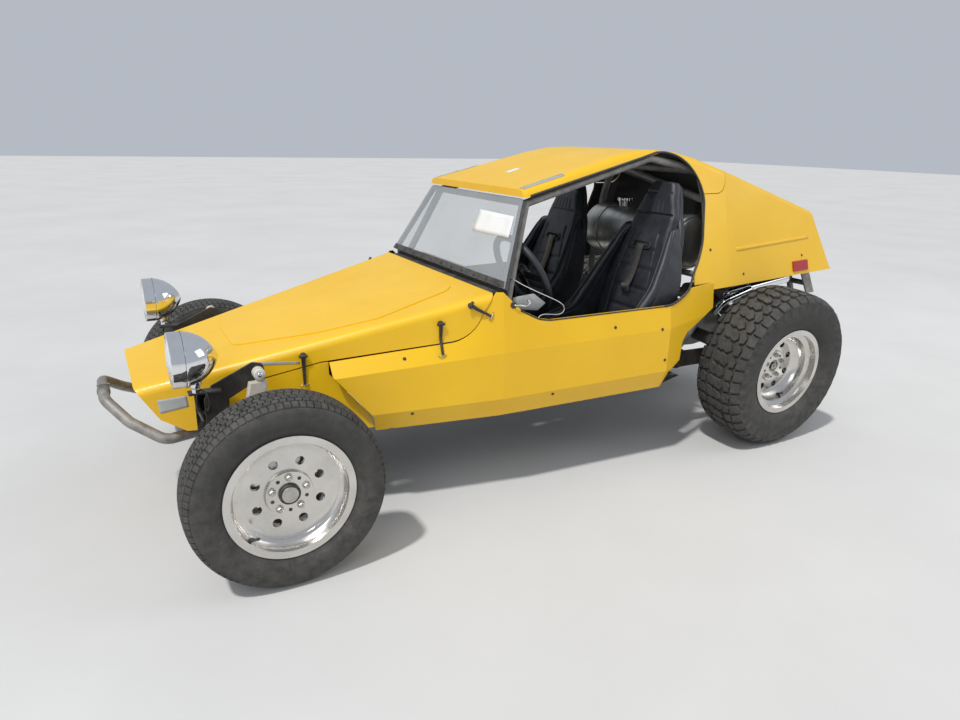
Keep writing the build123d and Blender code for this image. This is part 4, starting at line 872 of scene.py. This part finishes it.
def build_seat(label, dx, yc, dz):
    def row(x, half, z):
        return (x + dx, yc - half, z + dz), (x + dx, yc + half, z + dz)

    name = f"{label}_seat"
    seams = [("u", s, 0.12, 1.0, 0.006, 0.005) for s in (0.17, 0.83)]
    seams += [("t", s, 0.17, 0.83, 0.006, 0.005) for s in (0.30, 0.44, 0.58, 0.72)]
    made = [pad(name + "_cushion", [row(x, half, z) for x, half, z in cushion_rows], 72, 52, 0.056, 0.026, seams,
                crown=0.2, wrinkle=0.0020)]
    back = [row(between(seat_face, z) - back_set_in, between(seat_half, z) - inset, z) for z, inset in back_insets]
    seams = [("u", s, 0.0, 0.50, 0.007, 0.005) for s in (0.20, 0.80)]
    seams += [("t", s, 0.20, 0.80, 0.0060, 0.005) for s in (0.10, 0.20, 0.30, 0.40)]
    seams += [("u", s, 0.68, 0.80, 0.0042, 0.0035) for s in (0.26, 0.38, 0.50, 0.62, 0.74)]
    seams += [("t", 0.66, 0.05, 0.95, 0.009, 0.007), ("t", 0.86, 0.08, 0.92, 0.005, 0.005)]
    made.append(pad(name + "_back", back, 120, 60, 0.060, 0.028, seams, crown=0.18, wrinkle=0.0024))
    for side, sign in sides:
        low, high = ([Vector((x + dx, yc + sign * (between(seat_half, z) - bolster_set_in), z + dz))
                      for x, z in points] for points in (wing_rear, wing_front))
        line = 0.80 if sign > 0 else 0.20
        made.append(pad(f"{name}_{side}_bolster", list(zip(low, high)) if sign > 0 else list(zip(high, low)), 84, 28,
                        0.042, 0.019, [("u", line, 0.0, 1.0, 0.004, 0.004)], crown=0.12, wrinkle=0.0022))
        tube(f"{name}_{side}_piping", [p + Vector((0.002, 0, 0.001)) for p in high], 0.0042, "vinyl", resolution=2)
    shell = [row(between(seat_rear, z) + shell_set_in, between(seat_half, z) - inset,
                 z if dz == 0 or z > 0.45 else z + 0.03) for z, inset in shell_insets]
    made.append(pad(name + "_shell", shell, 90, 24, 0.034, 0.016, [("t", 0.5, 0.0, 1.0, 0.003, 0.004)]))
    top = cushion_foot + dz
    middle = (seat_floor + top) / 2
    base = [((x + dx, yc - base_half, middle), (x + dx, yc + base_half, middle))
            for x in (0.050, -0.10, -0.25, -0.425)]
    made.append(pad(name + "_base", base, 24, 16, top - seat_floor - 0.002, 0.012, []))
    for piece in made:
        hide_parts(name)

    # Piped belt slot in the back
    slot_x = between(seat_face, slot_z) + 0.003 + dx
    loop = []
    for i in range(slot_points):
        c, s = math.cos(full_turn * i / slot_points), math.sin(full_turn * i / slot_points)
        y = slot_half_width * math.copysign(abs(c) ** 0.35, c)
        z = slot_half_height * math.copysign(abs(s) ** 0.6, s)
        loop.append(Vector((slot_x - 0.29 * z, yc + y, slot_z + dz + z)))
    tube(name + "_slot_piping", loop, 0.0045, "vinyl", resolution=2, cyclic=True)
    # The slot's opening is filled with a near-black sheet, painted shade for the hole through the back
    work = bmesh.new()
    work.faces.new([work.verts.new(p - forward * 0.001) for p in loop])
    finish(name + "_slot", work, "hollow", thick=0.0006)

    # A belt hangs from the slot
    hang = [Vector((slot_x - 0.012, yc, slot_z + dz)), Vector((slot_x + 0.006, yc, slot_z + dz - 0.002))]
    hang += [Vector((between(seat_face, z) + dx + out, yc, z + dz)) for z, out in
             ((0.935, 0.010), (0.90, 0.008), (0.86, 0.008), (0.82, 0.011), (0.79, 0.018), (0.775, 0.026))]
    strap(f"{label}_belt", hang, (0.046, 0.044), 0.0025, "tan" if label == "passenger" else "webbing")
    rounded_block(f"{label}_belt_tongue", hang[-1] - upward * 0.012, (0.008, 0.050, 0.034), 0.0025,
                  "zinc" if label == "driver" else "webbing")


for place in seat_places:
    build_seat(*place)


# A red push button in a black buckle beside the driver's cushion
buckle_turn = -0.3
rounded_block("belt_buckle", (-0.235, 0.505, 0.648), (0.062, 0.036, 0.030), 0.004, "plastic", buckle_turn)
rounded_block("belt_buckle_button", (-0.212, 0.505, 0.657), (0.020, 0.026, 0.026), 0.003, "red", buckle_turn)
strap("belt_buckle_web", [(-0.262, 0.505, 0.638), (-0.300, 0.500, 0.612), (-0.335, 0.490, 0.575),
                          (-0.350, 0.478, 0.545)], (0.030, 0.040), 0.0025, "webbing")

# Headlamps: rim, ribbed lens, fine seam, chrome nut and screw
lamp_front = Vector((1.578, 0.461, 0.716))
lens_radius = 0.0775
for side, sign in sides:
    middle = Vector((lamp_front.x, sign * lamp_front.y, lamp_front.z))
    seat = facing(middle, forward)
    work = bmesh.new()
    spin(work, [(-0.012, 0.0898), (-0.004, 0.0900), (0.003, 0.0896), (0.0075, 0.0870), (0.0085, 0.0830),
                (0.0060, 0.0790), (0.0020, lens_radius), (-0.004, lens_radius), (-0.004, 0.080)], seat, 64, closed=True)
    spin(work, [(-0.0395, 0.0880), (-0.0395, 0.0906), (-0.0360, 0.0909), (-0.0340, 0.0906), (-0.0340, 0.0880)], seat,
         64, closed=True)
    finish(f"{side}_lamp_ring", work, "chrome", sharp=45)
    turned(f"{side}_lamp_seam", [(-0.0333, 0.0880), (-0.0333, 0.09025), (-0.0323, 0.09025), (-0.0323, 0.0880)], seat,
           "hollow", steps=64, sharp=None, closed=True)

    def lens_point(u, t):
        u, t = 2 * u - 1, 2 * t - 1
        y, z = u * math.sqrt(1 - t * t / 2), t * math.sqrt(1 - u * u / 2)
        r = min(math.hypot(y, z), 1.0)
        rib = 0.0009 * math.cos(y * 52) * (1 - r ** 6)
        return middle + Vector((0.001 + 0.013 * (1 - r * r) + rib, y * lens_radius, z * lens_radius))

    work = bmesh.new()
    grid(work, 40, 40, lens_point)
    finish(f"{side}_lamp_lens", work, "lens", sharp=None, thick=0.0012)
    screws(f"{side}_lamp_screw", [(middle + Vector((0.0005, 0, -0.0888)), forward)], radius=0.004, height=0.009)
    turned(f"{side}_lamp_nut", [(-0.004, 0.0092), (-0.004, 0.0150), (0.008, 0.0150), (0.010, 0.0130),
                                (0.010, 0.0092)], facing((1.516, sign * lamp_front.y, 0.6055), upward), "chrome",
           steps=6, closed=True)

# Rear lamps: bright bezels round ribbed domes
lamp_out = Vector((-0.902, 0, 0.432)).normalized()
dome_radius, dome_rings = 0.0445, 36
for side, sign in sides:
    seat = facing(Vector((-1.7412, sign * 0.215, 0.9098)), lamp_out)
    turned(f"{side}_rear_lamp_bezel", [(-0.004, 0.0483), (-0.004, 0.0520), (0.002, 0.0518), (0.0045, 0.0490),
                                       (0.0035, 0.0450), (0.0005, 0.0450)], seat, "chrome", sharp=40, closed=True)
    rings = [(0.0006 + 0.0055 * math.cos(r / 0.045 * math.pi / 2) + 0.0006 * math.cos(r * 2400), r)
             for r in (dome_radius * i / dome_rings for i in range(dome_rings, 0, -1))]
    turned(f"{side}_rear_lamp_dome", [(-0.001, dome_radius)] + rings + [(0.0067, 0.0)], seat, "red", sharp=None)

# Fuel tank: domed ends, filler cap and hold-down bands
tank_x, tank_z, tank_end, tank_radius = -0.735, 0.950, 0.340, 0.128
work = bmesh.new()
for side, sign in sides:
    spin(work, [(0.0004, 0.112), (0.003, 0.108), (0.0065, 0.080), (0.0085, 0.040), (0.009, 0.0)],
         facing((tank_x, sign * tank_end, tank_z), (0, sign, 0)), 64)
finish("tank_ends", work, "brushed", sharp=None, thick=0.0006)
cap_seat, cap_knobs, cap_circle = facing((tank_x, -0.160, 1.104), upward), 8, 0.0345
work = bmesh.new()
spin(work, [(-0.006, 0.0), (-0.006, 0.0345), (0.004, 0.0360), (0.012, 0.0350), (0.0155, 0.0310), (0.0165, 0.0120),
            (0.0205, 0.0080), (0.0210, 0.0)], cap_seat, 40)
for i in range(cap_knobs):
    angle = full_turn * i / cap_knobs
    spin(work, [(-0.002, 0.0), (-0.002, 0.0045), (0.0125, 0.0045), (0.0145, 0.0)],
         cap_seat @ Matrix.Translation((cap_circle * math.cos(angle), 0, cap_circle * math.sin(angle))), 12)
finish("tank_cap", work, "chrome", sharp=35)
work = bmesh.new()
for y in (-0.240, 0.240):
    spin(work, [(-0.017, tank_radius + 0.0026), (-0.017, tank_radius + 0.0042), (0.017, tank_radius + 0.0042),
                (0.017, tank_radius + 0.0026)], facing((tank_x, y, tank_z), leftward), 72, closed=True)
finish("tank_bands", work, "zinc", sharp=35)

# Steering wheel: centre cap with bolts, and a padded grip
wheel_centre = Vector((0.200, 0.320, 0.870))
towards_driver = Vector((-0.8829, 0, 0.4695)).normalized()
wheel_seat = facing(wheel_centre, towards_driver)
turned("hand_wheel_centre", [(0.006, 0.0), (0.006, 0.0350), (0.014, 0.0350), (0.0175, 0.0320), (0.0180, 0.0220),
                             (0.0160, 0.0180), (0.0160, 0.0)], wheel_seat, "plastic", "hand_wheel")
bolt_count, bolt_circle = 6, 0.0270
bolt_turns = [full_turn * i / bolt_count for i in range(bolt_count)]
screws("hand_wheel_bolts", [(wheel_seat @ Vector((bolt_circle * math.cos(turn), 0.0176,
                                                  bolt_circle * math.sin(turn))), towards_driver)
                            for turn in bolt_turns], radius=0.0035, height=0.0028, body="hand_wheel")
grip_radius, rim_radius, grip_sides = 0.0145, 0.168, 14
grip_turns = [full_turn * i / grip_sides for i in range(grip_sides)]
grip_rows = [(grip_radius * math.sin(turn), rim_radius + grip_radius * math.cos(turn)) for turn in grip_turns]
turned("hand_wheel_grip", grip_rows, wheel_seat, "vinyl", "hand_wheel", 96, None, closed=True)

# Front bumper: black band beside the clamp ring at its middle
turned("bumper_band", [(-0.016, 0.0150), (-0.016, 0.0195), (-0.014, 0.0205), (0.003, 0.0205), (0.005, 0.0195),
                       (0.005, 0.0150)], facing((1.778, 0.0, 0.500), leftward), "rubber", steps=40, closed=True)

# Small parts in the driver's doorway: a bracket, and a hook in a grommet
work = bmesh.new()
plate = [(0.348, 0.813), (0.252, 0.820), (0.197, 0.779), (0.234, 0.752), (0.312, 0.764), (0.352, 0.785)]
face = work.faces.new([work.verts.new((x, 0.486, z)) for x, z in plate])
grown = bmesh.ops.extrude_face_region(work, geom=[face])["geom"]
bmesh.ops.translate(work, verts=verts_in(grown), vec=(0, 0.012, 0))
bevelled(work, work.edges[:], 0.002)
finish("doorway_bracket", work, "tape", sharp=35)
hook_hit = drop(panels, (0.383, 1.0, 0.800), -leftward)
if hook_hit:
    point, out = hook_hit
    turned("hook_grommet", [(-0.001, 0.0), (-0.001, 0.013), (0.003, 0.0125), (0.0045, 0.009), (0.0035, 0.006),
                            (0.0035, 0.0)], facing(point, out), "rubber", steps=24)
    tube("doorway_hook", [point + out * 0.002, point + out * 0.012, point + out * 0.014 - forward * 0.018,
                          point + out * 0.013 - forward * 0.046 - upward * 0.008,
                          point + out * 0.011 - forward * 0.066 - upward * 0.002,
                          point + out * 0.010 - forward * 0.070 + upward * 0.010,
                          point + out * 0.012 - forward * 0.056 + upward * 0.013], 0.0032, "chrome")


# Floor and light
def set_stage():
    floor = bpy.data.meshes.new("floor")
    work = bmesh.new()
    bmesh.ops.create_grid(work, x_segments=1, y_segments=1, size=40)
    work.to_mesh(floor)
    work.free()
    ground = bpy.data.objects.new("floor", floor)
    bpy.context.scene.collection.objects.link(ground)
    floor.materials.append(surface("pale_floor", (0.62, 0.61, 0.59), (0.57, 0.56, 0.54), mottle=0.7,
                                   rough=(0.75, 0.9), grain=60, bump=0.05))
    world = bpy.data.worlds.new("world")
    bpy.context.scene.world = world
    world.use_nodes = True
    background = world.node_tree.nodes["Background"]
    background.inputs[0].default_value = (0.84, 0.90, 1.0, 1)
    background.inputs[1].default_value = 0.55
    lights = [
        # kind, place, aim, strength, size
        ("SUN", (3.0, 1.5, 6.0), (0, 0, 0), 2.4, 0.06),
        ("AREA", (4.5, 4.5, 4.0), (0.5, 0, 0.5), 70, 3.0),
        ("AREA", (-5.0, 3.0, 3.5), (-0.5, 0, 0.7), 50, 3.0),
    ]
    for i, (kind, place, aim, power, size) in enumerate(lights):
        data = bpy.data.lights.new(f"light_{i}", kind)
        data.energy = power
        if kind == "SUN":
            data.angle = size
        else:
            data.size = size
        lamp = bpy.data.objects.new(f"light_{i}", data)
        lamp.location = place
        lamp.rotation_euler = (Vector(aim) - Vector(place)).to_track_quat("-Z", "Y").to_euler()
        bpy.context.scene.collection.objects.link(lamp)
    bpy.context.scene.view_settings.view_transform = "Standard"


set_stage()
